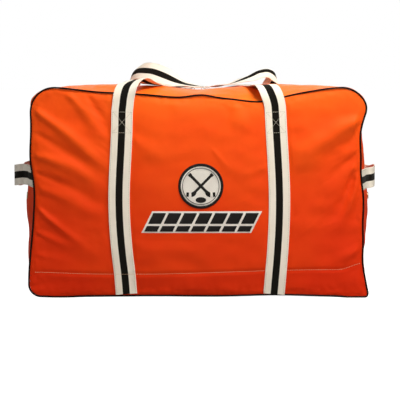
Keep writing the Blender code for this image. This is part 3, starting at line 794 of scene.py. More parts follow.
# Each look has the name of its colour slot.
LOOKS = {
    "orange_vinyl": orange_vinyl(),
    "piping_black": black_vinyl(),
    "striped_webbing": striped_webbing(),
    "zipper_tape": zipper_tape(),
    "zipper_coil": zipper_coil(),
    "nickel": metal("nickel", (214, 211, 204), (160, 156, 150), 0.20),
    "brass": metal("brass", (214, 196, 158), (168, 140, 96), 0.24),
    "patch_white": embroidery("patch_white", (238, 236, 230), (200, 197, 188)),
    "patch_black": embroidery("patch_black", (13, 11, 11), (4, 4, 4)),
    "liner": liner_cloth(),
    "board": fluted_board(),
}
BACKING = vinyl_backing()
PALE_THREAD = thread("thread_pale", (232, 196, 160), (206, 164, 126))
ORANGE_THREAD = thread("thread_orange", (246, 112, 48), (206, 70, 22))
WEB_THREAD = thread("thread_webbing", (206, 202, 186), (176, 170, 152))


# Front and back panels -----------------------------------------------------------------------
def between(face, first, last, count):
    """The plain outline from the middle of one corner to the middle of the next, evenly spaced."""
    half = {"low_right": 6, "low_left": 6, "top_right": 10, "top_left": 10}
    i, j = face.starts[first] + half[first], face.starts[last] + half[last]
    plain = face.plain
    return evenly(plain[i : j + 1] if j > i else np.vstack([plain[i:], plain[: j + 1]]), count + 1)


def panel_grid(face):
    """A Coons patch over the plain rounded rectangle, then warped."""
    columns, rows = 264, 164
    bottom = between(face, "low_left", "low_right", columns)
    right = between(face, "low_right", "top_right", rows)
    top = between(face, "top_right", "top_left", columns)[::-1]
    left = between(face, "top_left", "low_left", rows)[::-1]
    u = np.linspace(0, 1, columns + 1)[None, :, None]
    v = np.linspace(0, 1, rows + 1)[:, None, None]
    grid = (1 - v) * bottom[None] + v * top[None] + (1 - u) * left[:, None] + u * right[:, None]
    grid -= (1 - u) * (1 - v) * bottom[0] + u * (1 - v) * bottom[-1] + (1 - u) * v * top[0] + u * v * top[-1]
    return warp(grid[..., 0], grid[..., 1], face)


def low_shade(z):
    """How far the colour has turned to its darker lower tone, a painted shade that grows towards the bottom.
    """
    return smooth((0.44 - z) / 0.34)


def make_panel(face):
    x, z = panel_grid(face)
    to_edge = distance_to(face.seam, x, z)
    out = stand(x, z, face, to_edge)
    points = stack(x, face.sign * (FACE + out), z)
    from_middle = np.abs(x)
    # Paler on fold ridges, a painted highlight, and near the seam, where it is rubbed.
    wear_and_highlight = np.clip((out - stand_smooth(x, z, face)) / 0.007, 0, 1) * 0.3 + 0.2 * bell(to_edge / 0.012)
    # Painted highlight along the top of the panel, weaker at the sides, the left side most.
    upper = 0.85 - np.where(x < 0, 0.6, 0.1) * smooth((from_middle - 0.19) / 0.06)
    wear_and_highlight = wear_and_highlight + upper * smooth((z - 0.405) / 0.075)
    # Painted shade: darker low on the sides and towards the bottom; darker also below the hem stitch.
    aside = 0.20 * smooth((from_middle - 0.22) / 0.12) * smooth((0.43 - z) / 0.16)
    low = np.clip(0.68 * low_shade(z) + 0.24 * smooth((hem_line(x) - z) / 0.004) + aside, 0, 1)
    obj = cloth_piece(f"{face.name}_shell", points, stack(x, z), face.sign > 0, wear_and_highlight, low)
    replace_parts(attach(obj, "bag"), f"{face.name}_panel")
    make_hem(face)


def make_hem(face):
    """The line of stitches that holds the liner. It runs on over the straps."""
    x = np.linspace(-0.3915, 0.3895, 400)
    z = hem_line(x)
    over = sum(smooth((WEB / 2 + 0.001 - np.abs(x - strap_line(z, s, face))) / 0.002) for s in (-1, 1))
    points = on_panel(face, x, z, 0.0001)
    points[:, 1] += face.sign * 0.0030 * over
    sew(f"{face.name}_hem_stitches", [(points, (0, face.sign, 0))], PALE_THREAD)


# Gusset: ends, bottom and top ----------------------------------------------------------------
DEPTHS = np.concatenate([[-1, -0.985, -0.96], np.linspace(-0.92, 0.92, 57), [0.96, 0.985, 1]])


def end_crown(z, sign):
    """The ends stand out most below the grab loop, which cinches them in."""
    swell = END_CROWN * np.clip(1 - ((z - 0.25) / 0.25) ** 2, 0, None)
    cinch = 1 - (0.42 if sign < 0 else 0.12) * smooth((z - END_Z) / 0.05)
    waves = bumps(z, ((0.205, 0.06, 0.0025), (END_Z, 0.030, -0.0020)))
    return swell * cinch * (1.0 if sign < 0 else 0.86) + waves


def side_x(y, z, sx):
    """Distance of an end's outer face from the middle of the bag."""
    front, back = (half_at(sx, z, face) for face in (FRONT, BACK))
    v = y / SEAM
    return front * (1 - v) / 2 + back * (1 + v) / 2 + end_crown(z, sx) * (1 - v**2)


def side_frame(y, z, sx):
    """Axes on the outer face of an end: local Z points out of the bag."""
    step = 0.004
    at = Vector((sx * float(side_x(y, z, sx)), y, z))
    along_y = Vector((sx * float(side_x(y + step, z, sx) - side_x(y - step, z, sx)), 2 * step, 0))
    along_z = Vector((sx * float(side_x(y, z + step, sx) - side_x(y, z - step, sx)), 0, 2 * step))
    out = along_y.cross(along_z).normalized() * sx
    u = Vector((0, 0, 1)).cross(out).normalized()
    return Matrix.Translation(at) @ Matrix((u, out.cross(u), out)).transposed().to_4x4()


def billow(x, y, front, back):
    """How far the zipped top puffs up on each side of its zipper, least at the middle."""
    aim = 0.5077 - 0.0140 * np.exp(-((np.abs(x - 0.004) / 0.07) ** 1.6))
    amount = np.clip(aim - (ridge(x) - 0.1416 * (ridge(x) - (front + back) / 2)), 0, None)
    s = np.clip((np.abs(y) - ZIP_SLOT) / (SEAM - ZIP_SLOT), 0, 1)
    profile = np.clip(np.sin(np.pi * s**0.63), 0, 1) ** 1.2
    return amount * profile * np.where(y < 0, 1.0, 0.85) * smooth((0.350 - np.abs(x)) / 0.075)


def top_point(x, y, lift=0.0):
    """A point on the zipped top, its folds left out."""
    x, y = np.broadcast_arrays(np.asarray(x, float), np.asarray(y, float))
    fx, fz = warp(x, np.full_like(x, TOP), FRONT)
    bx, bz = warp(x, np.full_like(x, TOP), BACK)
    t = (y / SEAM + 1) / 2
    z = fz * (1 - t) + bz * t + (ridge(x) - (fz + bz) / 2) * (1 - (y / SEAM) ** 2) + billow(x, y, fz, bz)
    return stack(fx * (1 - t) + bx * t, y, z + lift)


def stretch(first, last):
    """Indexes of the outline from one mark to the next, both included."""
    marks = {**FRONT.starts, "zip_end": FRONT.starts["left_shoulder"] - 1}
    return np.arange(marks[first], marks[last] + 1) % FRONT.starts["end"]


def gusset(picked, crown, flatness):
    """Grid of a stretch of the gusset: rows along the outline, columns from front to back."""
    front, back = FRONT.seam[picked], BACK.seam[picked]
    along = heading((front + back) / 2)
    out = stack(along[:, 1], -along[:, 0])
    out[FRONT.plain[picked, 1] > TOP - 1e-9] = (0, 1)
    v = DEPTHS[None, :]
    t = (v[..., None] + 1) / 2
    flat = np.clip((1 - np.abs(v) ** 8) / (1 - 0.8**8), 0, 1)
    profile = (1 - v * v) * (1 - flatness[:, None]) + flat * flatness[:, None]
    at = front[:, None] * (1 - t) + back[:, None] * t + out[:, None] * (crown[:, None] * profile)[..., None]
    y = np.broadcast_to(v * (SEAM + 0.0004), at.shape[:2])
    return stack(at[..., 0], y, at[..., 1]), out


def wrinkles(points, seed):
    """Soft creases of the gusset, strongest near its seams, where the cloth is gathered."""
    inset = 1 - np.abs(DEPTHS)[None, :]
    broad = grain(points, 0.075, seed, (1, 0.55, 1)) * 0.0036
    middle = grain(points, 0.030, seed + 3, (1, 0.45, 1.3)) * 0.0015
    gathered = grain(points, 0.013, seed + 6, (1, 0.35, 1)) * 0.0013 * bell(inset / 0.16)
    return (broad + middle + gathered) * smooth(inset / 0.04)


def grid_uv(points):
    """UV in metres along the rows and columns of a grid."""
    u = lengths(points[:, points.shape[1] // 2])
    return stack(u[:, None], points[..., 1])


def make_end(sx, side):
    """An end panel, from the bottom up and over the top corner to the zipper's end."""
    picked = stretch("low_right", "zip") if sx > 0 else stretch("zip_end", "bottom")
    x, z = FRONT.plain[picked].T
    low = np.clip((LOW + 0.035 - z) / 0.035, 0, 1)
    lean = np.clip((z - TOP + CORNER_TOP) / CORNER_TOP, 0, 1)
    front, back = FRONT.seam[picked, 1], BACK.seam[picked, 1]
    top = ridge(x) - (front + back) / 2
    crown = (end_crown(z, sx) * (1 - low) + LOW * low) * (1 - lean) + top * lean
    points, out = gusset(picked, crown, low)
    rise = billow(points[..., 0], points[..., 1], front[:, None], back[:, None])
    points[..., 2] += rise * smooth((lean[:, None] - 0.5) / 0.5)
    still = (smooth((z - LOW) / 0.05) * smooth((np.abs(x) - ZIP_HALF) / 0.03))[:, None]
    still = still * np.where(np.abs(points[..., 2] - END_Z) < WEB, 0.5, 1.0)
    for sy in (-1, 1):
        vent = np.hypot(points[..., 1] - sy * VENT_Y, points[..., 2] - VENT_Z)
        still = still * (0.12 + 0.88 * smooth((vent - 0.010) / 0.02))
    lift = wrinkles(points, 21 if sx > 0 else 31) * still
    points = points + lift[..., None] * stack(out[:, 0], 0 * out[:, 0], out[:, 1])[:, None]
    points[..., 2] = np.maximum(points[..., 2], CLOTH)
    # Painted highlight: paler on raised wrinkles and over the top corner.
    wear_and_highlight = np.clip(lift / 0.004, 0, 1) * 0.7 + 1.7 * smooth(lean)[:, None]
    # Painted shade, darker towards the bottom.
    obj = cloth_piece(f"{side}_end_shell", points, grid_uv(points), False, wear_and_highlight, 0.8 * low_shade(points[..., 2]))
    punch(obj, sx)
    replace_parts(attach(obj, "bag"), f"{side}_end_panel")


def punch(obj, sx):
    """The two vent holes."""
    for sy in (-1, 1):
        bpy.ops.mesh.primitive_cylinder_add(vertices=32, radius=VENT_HOLE, depth=0.04)
        drill = bpy.context.object
        drill.matrix_world = side_frame(sy * VENT_Y, VENT_Z, sx)
        cut = obj.modifiers.new("vent", "BOOLEAN")
        cut.object, cut.operation, cut.solver = drill, "DIFFERENCE", "EXACT"
        settle(obj)
        bpy.data.objects.remove(drill)


def make_bottom():
    picked = stretch("bottom", "end")
    points, _ = gusset(picked, np.full(len(picked), LOW), np.ones(len(picked)))
    points[..., 2] = np.maximum(points[..., 2], 0.0002)
    # The bottom takes the full painted shade of the lower tone.
    obj = cloth_piece("bottom_shell", points, grid_uv(points), False, 0.0, 1.0)
    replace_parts(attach(obj, "bag"), "bottom_panel")


def join_flap(obj, side, node=None):
    """Half of a piece of the top, with its transform baked into its mesh. The left half stands for the CAD
    node."""
    if node and side == "left":
        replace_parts(obj, node)
    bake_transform(obj)


# The quarters of the zipped top: front or back and its sign, left or right and its sign.
HALVES = [(face, sign, side, sx) for face, sign in FRONT_BACK for side, sx in LEFT_RIGHT]


def make_top():
    """The two halves of the top, each in two pieces, with the stitching along the zipper and the seams."""
    lip = np.linspace(1, ZIP_SLOT / SEAM, 48)
    for face, sign, side, sx in HALVES:
        x, y = np.meshgrid(np.linspace(sx * ZIP_HALF, 0, 76), sign * lip * SEAM, indexing="ij")
        points = top_point(x, y)
        inset, from_slot = 1 - np.abs(y) / SEAM, np.abs(y) - ZIP_SLOT
        hold = smooth(inset / 0.06) * smooth((from_slot - 0.008) / 0.03)
        hold = hold * smooth((ZIP_HALF - np.abs(x)) / 0.02)
        broad = grain(points, 0.085, 41 + sign, (1, 0.6, 0)) * 0.0036
        fine = grain(points, 0.035, 45 + sign, (1, 1, 0)) * 0.0014
        gathered = grain(points, 0.014, 49 + sign, (1, 0.4, 0)) * 0.0010 * bell(inset / 0.12)
        lift = (broad + fine + gathered) * hold
        points[..., 2] += lift + smooth((0.0075 - from_slot) / 0.0012) * 0.0006
        # Painted highlight: the top is paler all over, and more so on its raised wrinkles.
        wear_and_highlight = 1.7 + np.clip(lift / 0.005, 0, 1)
        shell = cloth_piece(f"top_{face}_{side}", points, stack(x, y), sign * sx > 0, wear_and_highlight, 0.0)
        join_flap(shell, side, f"top_flap_{face}")
        inner = np.linspace(sx * (ZIP_HALF - 0.001), sx * 0.0005, 90)
        rows = [(top_point(inner, sign * (ZIP_SLOT + gap), 0.0006), UP) for gap in (0.0028, 0.0062)]
        join_flap(stitches(f"zipper_topstitch_{face}_{side}", rows, ORANGE_THREAD), side)
    x = np.linspace(-ZIP_HALF, ZIP_HALF, 260)
    for face, sign in FRONT_BACK:
        row = (top_point(x, sign * (SEAM - 0.0065), 0.0012), UP)
        sew(f"top_seam_stitches_{face}", [row], ORANGE_THREAD)


def make_piping():
    for face in (FRONT, BACK):
        along = heading(face.seam, closed=True)
        x, z = (face.seam + stack(along[:, 1], -along[:, 0]) * (PIPING_R + 0.0002)).T
        path = stack(x, face.sign * (SEAM + 0.0012), z)
        path = resample(np.vstack([path, path[:1]]), 0.004)[:-1]
        path[:, 2] = np.maximum(path[:, 2], PIPING_R)
        welt = tube(f"{face.name}_welt", path, PIPING_R * (1 + 0.05 * grain(path, 0.02, 61)), 12, closed=True)
        dress(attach(welt, "bag"), "piping_black", f"{face.name}_piping")


# Webbing -------------------------------------------------------------------------------------
# The free run of each carrying strap, from left to right: middle line, and the way its outer face looks.
FRONT_RUN = (
    (-0.1785, -0.1945, 0.4620, 0, -1, 0.16),
    (-0.1765, -0.1935, 0.4800, 0, -1, 0.16),
    (-0.1735, -0.1915, 0.4935, -0.05, -0.9, 0.4),
    (-0.1695, -0.1860, 0.5050, -0.15, -0.75, 0.65),
    (-0.1625, -0.1745, 0.5140, -0.28, -0.5, 0.8),
    (-0.1520, -0.1565, 0.5205, -0.3, -0.25, 0.92),
    (-0.1395, -0.1350, 0.5235, -0.12, 0.0, 1),
    (-0.1270, -0.1120, 0.5182, 0.15, 0.30, 0.95),
    (-0.1125, -0.0830, 0.5112, 0.25, 0.45, 0.85),
    (-0.0985, -0.0520, 0.5085, 0.2, 0.25, 0.95),
    (-0.0830, -0.0160, 0.5068, 0.1, 0.1, 1),
    (-0.0600, 0.0220, 0.5065, 0.05, 0.05, 1),
    (-0.0240, 0.0550, 0.5025, 0, 0, 1),
    (0.0200, 0.0640, 0.5018, 0, 0, 1),
    (0.0600, 0.0520, 0.5070, 0, 0, 1),
    (0.0930, 0.0240, 0.5078, 0, 0, 1),
    (0.1180, -0.0120, 0.5075, 0, 0, 1),
    (0.1370, -0.0520, 0.5068, 0, 0, 1),
    (0.1500, -0.0950, 0.5068, 0, 0, 1),
    (0.1580, -0.1300, 0.5100, 0, -0.12, 1),
    (0.1640, -0.1590, 0.5080, 0.02, -0.42, 0.88),
    (0.1695, -0.1790, 0.5010, 0.02, -0.75, 0.62),
    (0.1745, -0.1895, 0.4900, 0, -0.93, 0.36),
    (0.1795, -0.1930, 0.4770, 0, -1, 0.18),
    (0.1830, -0.1945, 0.4620, 0, -1, 0.16),
)
BACK_RUN = (
    (-0.1817, 0.1945, 0.4620, 0, 1, 0.16),
    (-0.1795, 0.1935, 0.4800, 0, 1, 0.16),
    (-0.1760, 0.1925, 0.4950, -0.2, 0.9, 0.2),
    (-0.1740, 0.1870, 0.5090, -0.5, 0.6, 0.3),
    (-0.1735, 0.1760, 0.5225, -0.85, 0.1, 0.3),
    (-0.1685, 0.1610, 0.5345, -0.75, -0.4, 0.45),
    (-0.1545, 0.1430, 0.5420, -0.35, -0.75, 0.55),
    (-0.1350, 0.1250, 0.5425, -0.1, -0.85, 0.5),
    (-0.1142, 0.1130, 0.5400, 0, -0.87, 0.5),
    (-0.0867, 0.1030, 0.5300, 0.1, -0.85, 0.5),
    (-0.0595, 0.1030, 0.5180, 0.15, -0.65, 0.7),
    (-0.0326, 0.1110, 0.5085, 0.12, -0.35, 0.93),
    (0.0000, 0.1220, 0.5030, 0.03, -0.12, 1),
    (0.0230, 0.1280, 0.5015, 0, -0.02, 1),
    (0.0560, 0.1340, 0.5045, 0, 0.12, 1),
    (0.0860, 0.1420, 0.5095, 0, 0.02, 1),
    (0.1100, 0.1500, 0.5180, -0.1, -0.15, 0.97),
    (0.1340, 0.1580, 0.5280, -0.2, -0.35, 0.92),
    (0.1560, 0.1640, 0.5390, -0.2, -0.46, 0.86),
    (0.1800, 0.1680, 0.5430, 0.12, -0.50, 0.85),
    (0.1975, 0.1725, 0.5345, 0.62, -0.42, 0.55),
    (0.2025, 0.1800, 0.5220, 0.85, 0.05, 0.35),
    (0.1955, 0.1880, 0.5085, 0.5, 0.65, 0.3),
    (0.1890, 0.1925, 0.4950, 0.2, 0.9, 0.2),
    (0.1868, 0.1935, 0.4800, 0, 1, 0.16),
    (0.1850, 0.1945, 0.4620, 0, 1, 0.16),
)


def curled(path):
    """Angles by which the two halves of the back handle roll, at its raised ends."""
    high = smooth((path[:, 2] - 0.500) / 0.015)
    left = smooth((-0.138 - path[:, 0]) / 0.040) * high
    right = smooth((path[:, 0] - 0.090) / 0.055) * smooth((path[:, 2] - 0.505) / 0.030)
    return stack(-1.3 * left - 0.9 * right, -0.5 * right)


def leg(face, side, count):
    """The sewn run of one strap up the panel, and the way its face looks."""
    z = np.linspace(SEWN_LOW, SEWN_TOP, count)
    x = strap_line(z, side, face)
    out = FACE + stand_smooth(x, z, face) + 0.0024 + 0.0010 * bell((z - LOW) / 0.02)
    points = stack(x, face.sign * out, z)
    look = unit(np.cross(heading(points), [1.0, 0, 0]))
    return points, look * np.sign(look[:, 1:2] * face.sign)


def make_carry_webbing(face, run):
    """One piece: up a leg, over the top piping, along the free run and down the other leg."""
    legs = [np.hstack(leg(face, side, 10)) for side in (-1, 1)]
    free = np.array(run, float)
    free[:, 3:] = unit(free[:, 3:])
    path = through(np.vstack([legs[0], free, legs[1][::-1]]), 8)
    path = resample(path, 0.005)
    curl = curled(path) if face is BACK else None
    name = face.name
    obj = ribbon(f"{name}_carry_webbing", path[:, :3], unit(path[:, 3:]), curl)
    dress(obj, "striped_webbing", f"{name}_strap_left", f"{name}_strap_right", f"{name}_handle")
    start, end = (0, face.sign * 0.199, 0.478), (0, face.sign * 0.190, 0.504)
    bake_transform(obj)
    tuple(start)
    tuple(end)
    for side, sx in LEFT_RIGHT:
        sew(f"{name}_strap_stitches_{side}", box_rows(*leg(face, sx, 90)), WEB_THREAD)


def box_rows(points, look):
    """Edge stitching up a strap, and the box with an X at its top."""
    across = unit(np.cross(look, np.gradient(points, axis=0)))
    across = across * np.sign(across[:, :1])
    skin = points + look * (WEB_THICK / 2)

    def at(u, z):
        columns = ([np.interp(z, points[:, 2], column) for column in rows.T] for rows in (skin, across, look))
        place, way, out = (np.array(column).T for column in columns)
        return place + way * u[:, None], out

    t = np.linspace(0, 1, 40)
    start, foot, top = SEWN_LOW + 0.003, SEWN_TOP - BOX_HIGH, SEWN_TOP - 0.001
    up, wide = start + t * (top - start), WEB_STITCH * (2 * t - 1)
    lines = [(0 * t - WEB_STITCH, up), (0 * t + WEB_STITCH, up), (wide, 0 * t + top), (wide, 0 * t + foot)]
    lines += [(wide, foot + (top - foot) * t), (wide, top - (top - foot) * t)]
    return [at(u, z) for u, z in lines]


# Each grab loop: side, its sign, height, how far it stands out, how its middle rises, how its back half dips.
GRABS = (
    ("left", -1, END_Z + 0.006, 0.0390, -0.0070, 0.008),
    ("right", 1, END_Z - 0.003, 0.0270, 0.0030, 0.005),
)
LOOP_FOOT = LOOP_HALF + 0.014
WEB_OFF_END = 0.0021  # from an end's face to the middle of the webbing on it


def make_grab_webbing():
    """The band across each end, with its loop that stands out. Two pieces that meet at the loop's middle."""
    y = np.linspace(SEAM - 0.001, LOOP_HALF + 0.008, 24)
    turn = np.linspace(0.16, np.pi / 2 + 0.01, 22)
    for side, sx, level, rise, droop, dip in GRABS:
        for face, sy in FRONT_BACK:
            sewn_x = sx * (side_x(sy * y, 0 * y + level, sx) + WEB_OFF_END)
            sewn = stack(sewn_x, sy * y, 0 * y + level)
            reach = np.abs(sewn[-1, 0]) + 0.0015 + rise * np.sin(turn) ** 0.8
            height = level + droop * np.sin(turn) ** 2 - (dip if sy > 0 else 0) * np.sin(2 * turn) ** 2
            loop = stack(sx * reach, sy * LOOP_HALF * np.cos(turn), height)
            path = resample(through(np.vstack([sewn[::4], loop[::3]]), 8), 0.003)
            look = np.cross(heading(path), UP)
            obj = ribbon(f"{side}_grab_webbing_{face}", path, look * np.sign(look[:, :1] * sx))
            nodes = [f"{side}_end_strap_{face}"] + ([f"{side}_end_handle"] if sy < 0 else [])
            dress(obj, "striped_webbing", *nodes)
            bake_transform(obj)
            sew(f"{side}_grab_stitches_{face}", grab_rows(sx, sy, level), WEB_THREAD)


def grab_rows(sx, sy, level):
    """Edge stitching along the sewn run of a grab band, and a bar of stitches at the loop's foot."""
    rows = []
    y = np.linspace(SEAM - 0.004, LOOP_FOOT, 40)
    middle = 0 * y + level
    bar = np.linspace(-WEB_STITCH, WEB_STITCH, 40) + level
    for along, z in ((y, middle - WEB_STITCH), (y, middle + WEB_STITCH), (0 * y + LOOP_FOOT, bar)):
        x = side_x(sy * along, middle, sx) + WEB_OFF_END + WEB_THICK / 2
        points = stack(sx * x, sy * along, z)
        rows.append((points, side_frame(sy * float(along.mean()), level, sx).col[2].xyz))
    return rows


# Zipper --------------------------------------------------------------------------------------
def make_zipper_halves():
    """Woven tapes under the folded edges, and coils whose loops interlock along the middle."""
    for face, sign, side, sx in HALVES:
        from_middle = np.linspace(0.0045, 0.0240, 9)
        x, y = np.meshgrid(np.linspace(sx * 0.298, 0, 90), sign * from_middle, indexing="ij")
        points = stack(x, y, ridge(x) - (0.0030 + 0.0006 * np.cos(np.abs(y) * 200)))
        tape = grid_mesh(f"tape_{face}_{side}", points, stack(x, y), sign * sx < 0)
        join_flap(dress(thicken(tape, 0.0007), "zipper_tape"), side, f"zipper_tape_{face}")
        coil = coil_mesh(f"coil_{face}_{side}", sign, sx)
        join_flap(dress(coil, "zipper_coil"), side, f"zipper_coil_{face}")


def coil_mesh(name, sign, sx):
    """One loop of the coil after another: over the top, round its nose, and back under."""
    pitch, radius, sides, side = 0.0024, 0.00048, 6, np.array([1.0, 0, 0])
    nose, heel, high, low = -0.0004, 0.0042, -0.0014, -0.0040
    over = [(0.0004, high - 0.0003), (0.0022, high), (heel, high)]
    under = [(heel, low), (0.0022, low), (0.0004, low + 0.0003)]
    profile = under + [(nose, (high + low) / 2)] + over
    vertices, faces = [], []
    for k in range(int(0.2925 / pitch)):
        x = sx * (k + (0.25 if sign < 0 else 0.75)) * pitch
        spread = 0.0011 * (smooth((abs(x) - 0.266) / 0.008) + smooth((0.019 - abs(x)) / 0.008))
        path = np.array([(x, sign * (y + spread), ridge_at(x) + z) for y, z in profile])
        up = np.cross(heading(path), side)[:, None]
        faces += [tuple(f) for f in grid_faces(len(path), sides, around=True) + len(vertices)]
        vertices += list(swept(path, radius, side, up, sides).reshape(-1, 3))
    return mend(mesh_object(name, vertices, faces), 60)


SLIDER_X = 0.0135
TAB_X = 0.3175  # middle of the tab over the zipper's end


def make_sliders():
    """Two sliders, each two wings joined by a post, with a bridge that holds the pull."""
    level = ridge_at(SLIDER_X)
    for side, sx in LEFT_RIGHT:

        def at(x, z):
            """A place beside the slider's middle; +X points to the wide end of the slider."""
            middle = Matrix.Translation((sx * SLIDER_X, 0, level)) @ Matrix.Diagonal((sx, 1, 1, 1))
            return middle @ Matrix.Translation((x, 0, z))

        upper = slab(f"slider_wing_upper_{side}", wing_outline(), 0.0014, at(0, 0.0007), bevel=0.0005)
        lower = slab(f"slider_wing_lower_{side}", wing_outline(), 0.0014, at(0, -0.0049), bevel=0.0005)
        foot = rounded(0.0022, 0.00045, 0.0004, 2)
        post = slab(f"slider_post_{side}", foot, 0.0050, at(-0.0055, -0.0004), bevel=0.0001)
        turn = np.linspace(0, np.pi, 15)
        arch_x, arch_z = sx * SLIDER_X + 0.0051 * np.cos(turn), level + 0.0004 + 0.0048 * np.sin(turn)
        bridge = tube(f"slider_bridge_{side}", stack(arch_x, 0 * turn, arch_z), 0.00085)
        for piece in (upper, lower, post, bridge):
            dress(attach(piece, f"slider_{side}"), "nickel")
        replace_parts(upper, f"slider_{side}")
        outline, window = pull_outlines()
        pull = slab(f"pull_tab_{side}", outline, 0.0012, at(0, 0.0034), 0.00035, window)
        dress(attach(pull, f"pull_{side}"), "nickel", f"pull_{side}")


def wing_outline():
    """Shield shape: broad where the two coils come in, narrow where they leave joined."""
    x = 0.0088 * np.cos(around(40))
    return list(zip(x, blunt(np.sin(around(40)), 0.55) * (0.0056 - 0.075 * x)))


def pull_outlines():
    """A slim tab that widens to a round tip, and the window that the bridge passes through."""
    c, s = np.cos(around(48)), np.sin(around(48))
    x = 0.0184 + 0.0190 * blunt(c, 0.8)
    wide = 0.0036 + 0.0012 * smooth((x - 0.010) / 0.025)
    return list(zip(x, blunt(s, 0.35) * wide)), list(zip(0.0046 + 0.0038 * c, 0.0024 * blunt(s, 0.6)))


def make_zipper_ends():
    """A metal stop across the coils, and a vinyl tab with rounded corners sewn over the tapes' ends."""
    s, t = np.meshgrid(np.linspace(-1, 1, 17), np.linspace(-1, 1, 17), indexing="ij")
    rim = np.maximum(np.abs(s), np.abs(t))
    line = np.array(rounded(0.0128, 0.0158, 0.003))
    line = np.vstack([line, line[:1]])
    for side, sx in LEFT_RIGHT:
        at = Matrix.Translation((sx * 0.29575, 0, ridge_at(ZIP_HALF) - 0.0012))
        stop = slab(f"stop_{side}", rounded(0.0017, 0.0041, 0.0008, 4), 0.0030, at, bevel=0.0006)
        dress(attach(stop, "bag"), "nickel", f"zipper_stop_{side}")
        x = sx * (TAB_X + 0.0155 * s * np.sqrt(1 - 0.12 * t**2))
        y = 0.0185 * t * np.sqrt(1 - 0.12 * s**2)
        points = top_point(x, y)
        points[..., 2] += 0.0009 * (1 - rim**10) + 0.0002
        # The tab takes the same painted highlight as the top.
        tab = cloth_piece(f"end_tab_{side}", points, stack(x, y), sx > 0, 1.7, 0.0)
        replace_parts(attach(tab, "bag"), f"zipper_end_tab_{side}")
        row = (top_point(sx * (TAB_X + line[:, 0]), line[:, 1], 0.0012), UP)
        sew(f"end_tab_stitches_{side}", [row], ORANGE_THREAD)


# Vents ---------------------------------------------------------------------------------------
def make_vents():
    """An eyelet and its washer at each vent, each turned from its profile of (radius, height)."""
    rim, bore = 0.0085, 0.0040
    turn = [(math.cos(a), math.sin(a)) for a in np.linspace(0, math.pi / 2, 5)]
    bead = [(bore + 0.0004 - 0.0004 * c, 0.0016 + 0.0006 * s) for c, s in turn]
    turn = [(math.cos(a), math.sin(a)) for a in np.linspace(0, math.pi / 2, 8)]
    roll = [(rim - 0.0018 + 0.0018 * s, 0.0004 + 0.0018 * c) for c, s in turn]
    neck = [(rim - 0.0002, 0.0002), (bore + 0.0009, 0.0002), (bore + 0.0008, -0.0040), (bore, -0.0040)]
    washer = [(0.0050, -0.0026), (0.0078, -0.0026), (rim, -0.0030), (0.0080, -0.0036), (0.0050, -0.0036)]
    for side, sx in LEFT_RIGHT:
        for face, sy in FRONT_BACK:
            at = side_frame(sy * VENT_Y, VENT_Z, sx)
            for kind, profile in (("eyelet", bead + roll + neck), ("washer", washer)):
                ring = turned(f"{side}_{kind}_ring_{face}", profile, at)
                dress(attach(ring, "bag"), "brass", f"{side}_vent_{kind}_{face}")


# Badge and bar -------------------------------------------------------------------------------
def patch(name, at, rise, look, flip=False):
    """Embroidery on the front panel: a grid of (x, z), and how far each point is raised."""
    points = on_panel(FRONT, at[..., 0], at[..., 1])
    points[..., 1] -= 0.0001 + rise
    return dress(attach(grid_mesh(name, points, at, flip), "bag"), look)


def strip(name, line, half, rise, look, closed=False):
    """A raised strip of embroidery along a line of (x, z)."""
    along = heading(line, closed)
    s = np.linspace(-1, 1, 9)
    side = stack(-along[:, 1], along[:, 0])
    at = line[:, None] + s[None, :, None] * np.reshape(half, (-1, 1, 1)) * side[:, None]
    at = np.vstack([at, at[:1]]) if closed else at
    return patch(name, at, rise * (1 - s[None, :] ** 6), look)


def disc(name, centre, radii, rise, look, squash=1.0):
    """A filled round of embroidery."""
    r, a = np.linspace(0.001, 1, 14)[:, None], np.linspace(0, 2 * np.pi, 61)[None, :]
    at = stack(centre[0] + radii * r * np.cos(a), centre[1] + radii * squash * r * np.sin(a))
    return patch(name, at, rise * (1 - r**16), look, flip=True)


def make_badge():
    """A round badge: two crossed sticks and a puck."""
    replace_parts(disc("badge_field", CREST, CREST_R - 0.001, 0.0010, "patch_white"), "crest_patch")
    a = around(90)
    for name, inset, half in (("badge_border", 0.0035, 0.0035), ("badge_inner_ring", 0.0105, 0.0008)):
        ring = CREST + (CREST_R - inset) * stack(np.cos(a), np.sin(a))
        strip(name, ring, half, 0.0020, "patch_black", closed=True)
    shaft = np.linspace((-0.0280, 0.0290), (0.0130, -0.0130), 30)
    blade = through([(0.0130, -0.0130), (0.0170, -0.0180), (0.0225, -0.0205), (0.0345, -0.0195)], 8)
    for side, sx in LEFT_RIGHT:
        line = resample(np.vstack([shaft[:-1], blade]), 0.0012, 2) * [sx, 1] + CREST
        along, lift = lengths(line), 0.0018 if sx > 0 else 0.0014
        half = 0.0040 + 0.0026 * smooth((along - 0.056) / 0.010)
        strip(f"badge_stick_{side}", line, half, lift, "patch_black")
        tape, grip = line[(along > 0.071) & (along < 0.078)], line[along < 0.007]
        strip(f"badge_stick_tape_{side}", tape, 0.0069, lift + 0.0004, "patch_white")
        strip(f"badge_stick_grip_{side}", grip, 0.0050, lift + 0.0003, "patch_black")
    disc("badge_puck", (CREST[0], CREST[1] - 0.0330), 0.0135, 0.0016, "patch_black", 0.55)


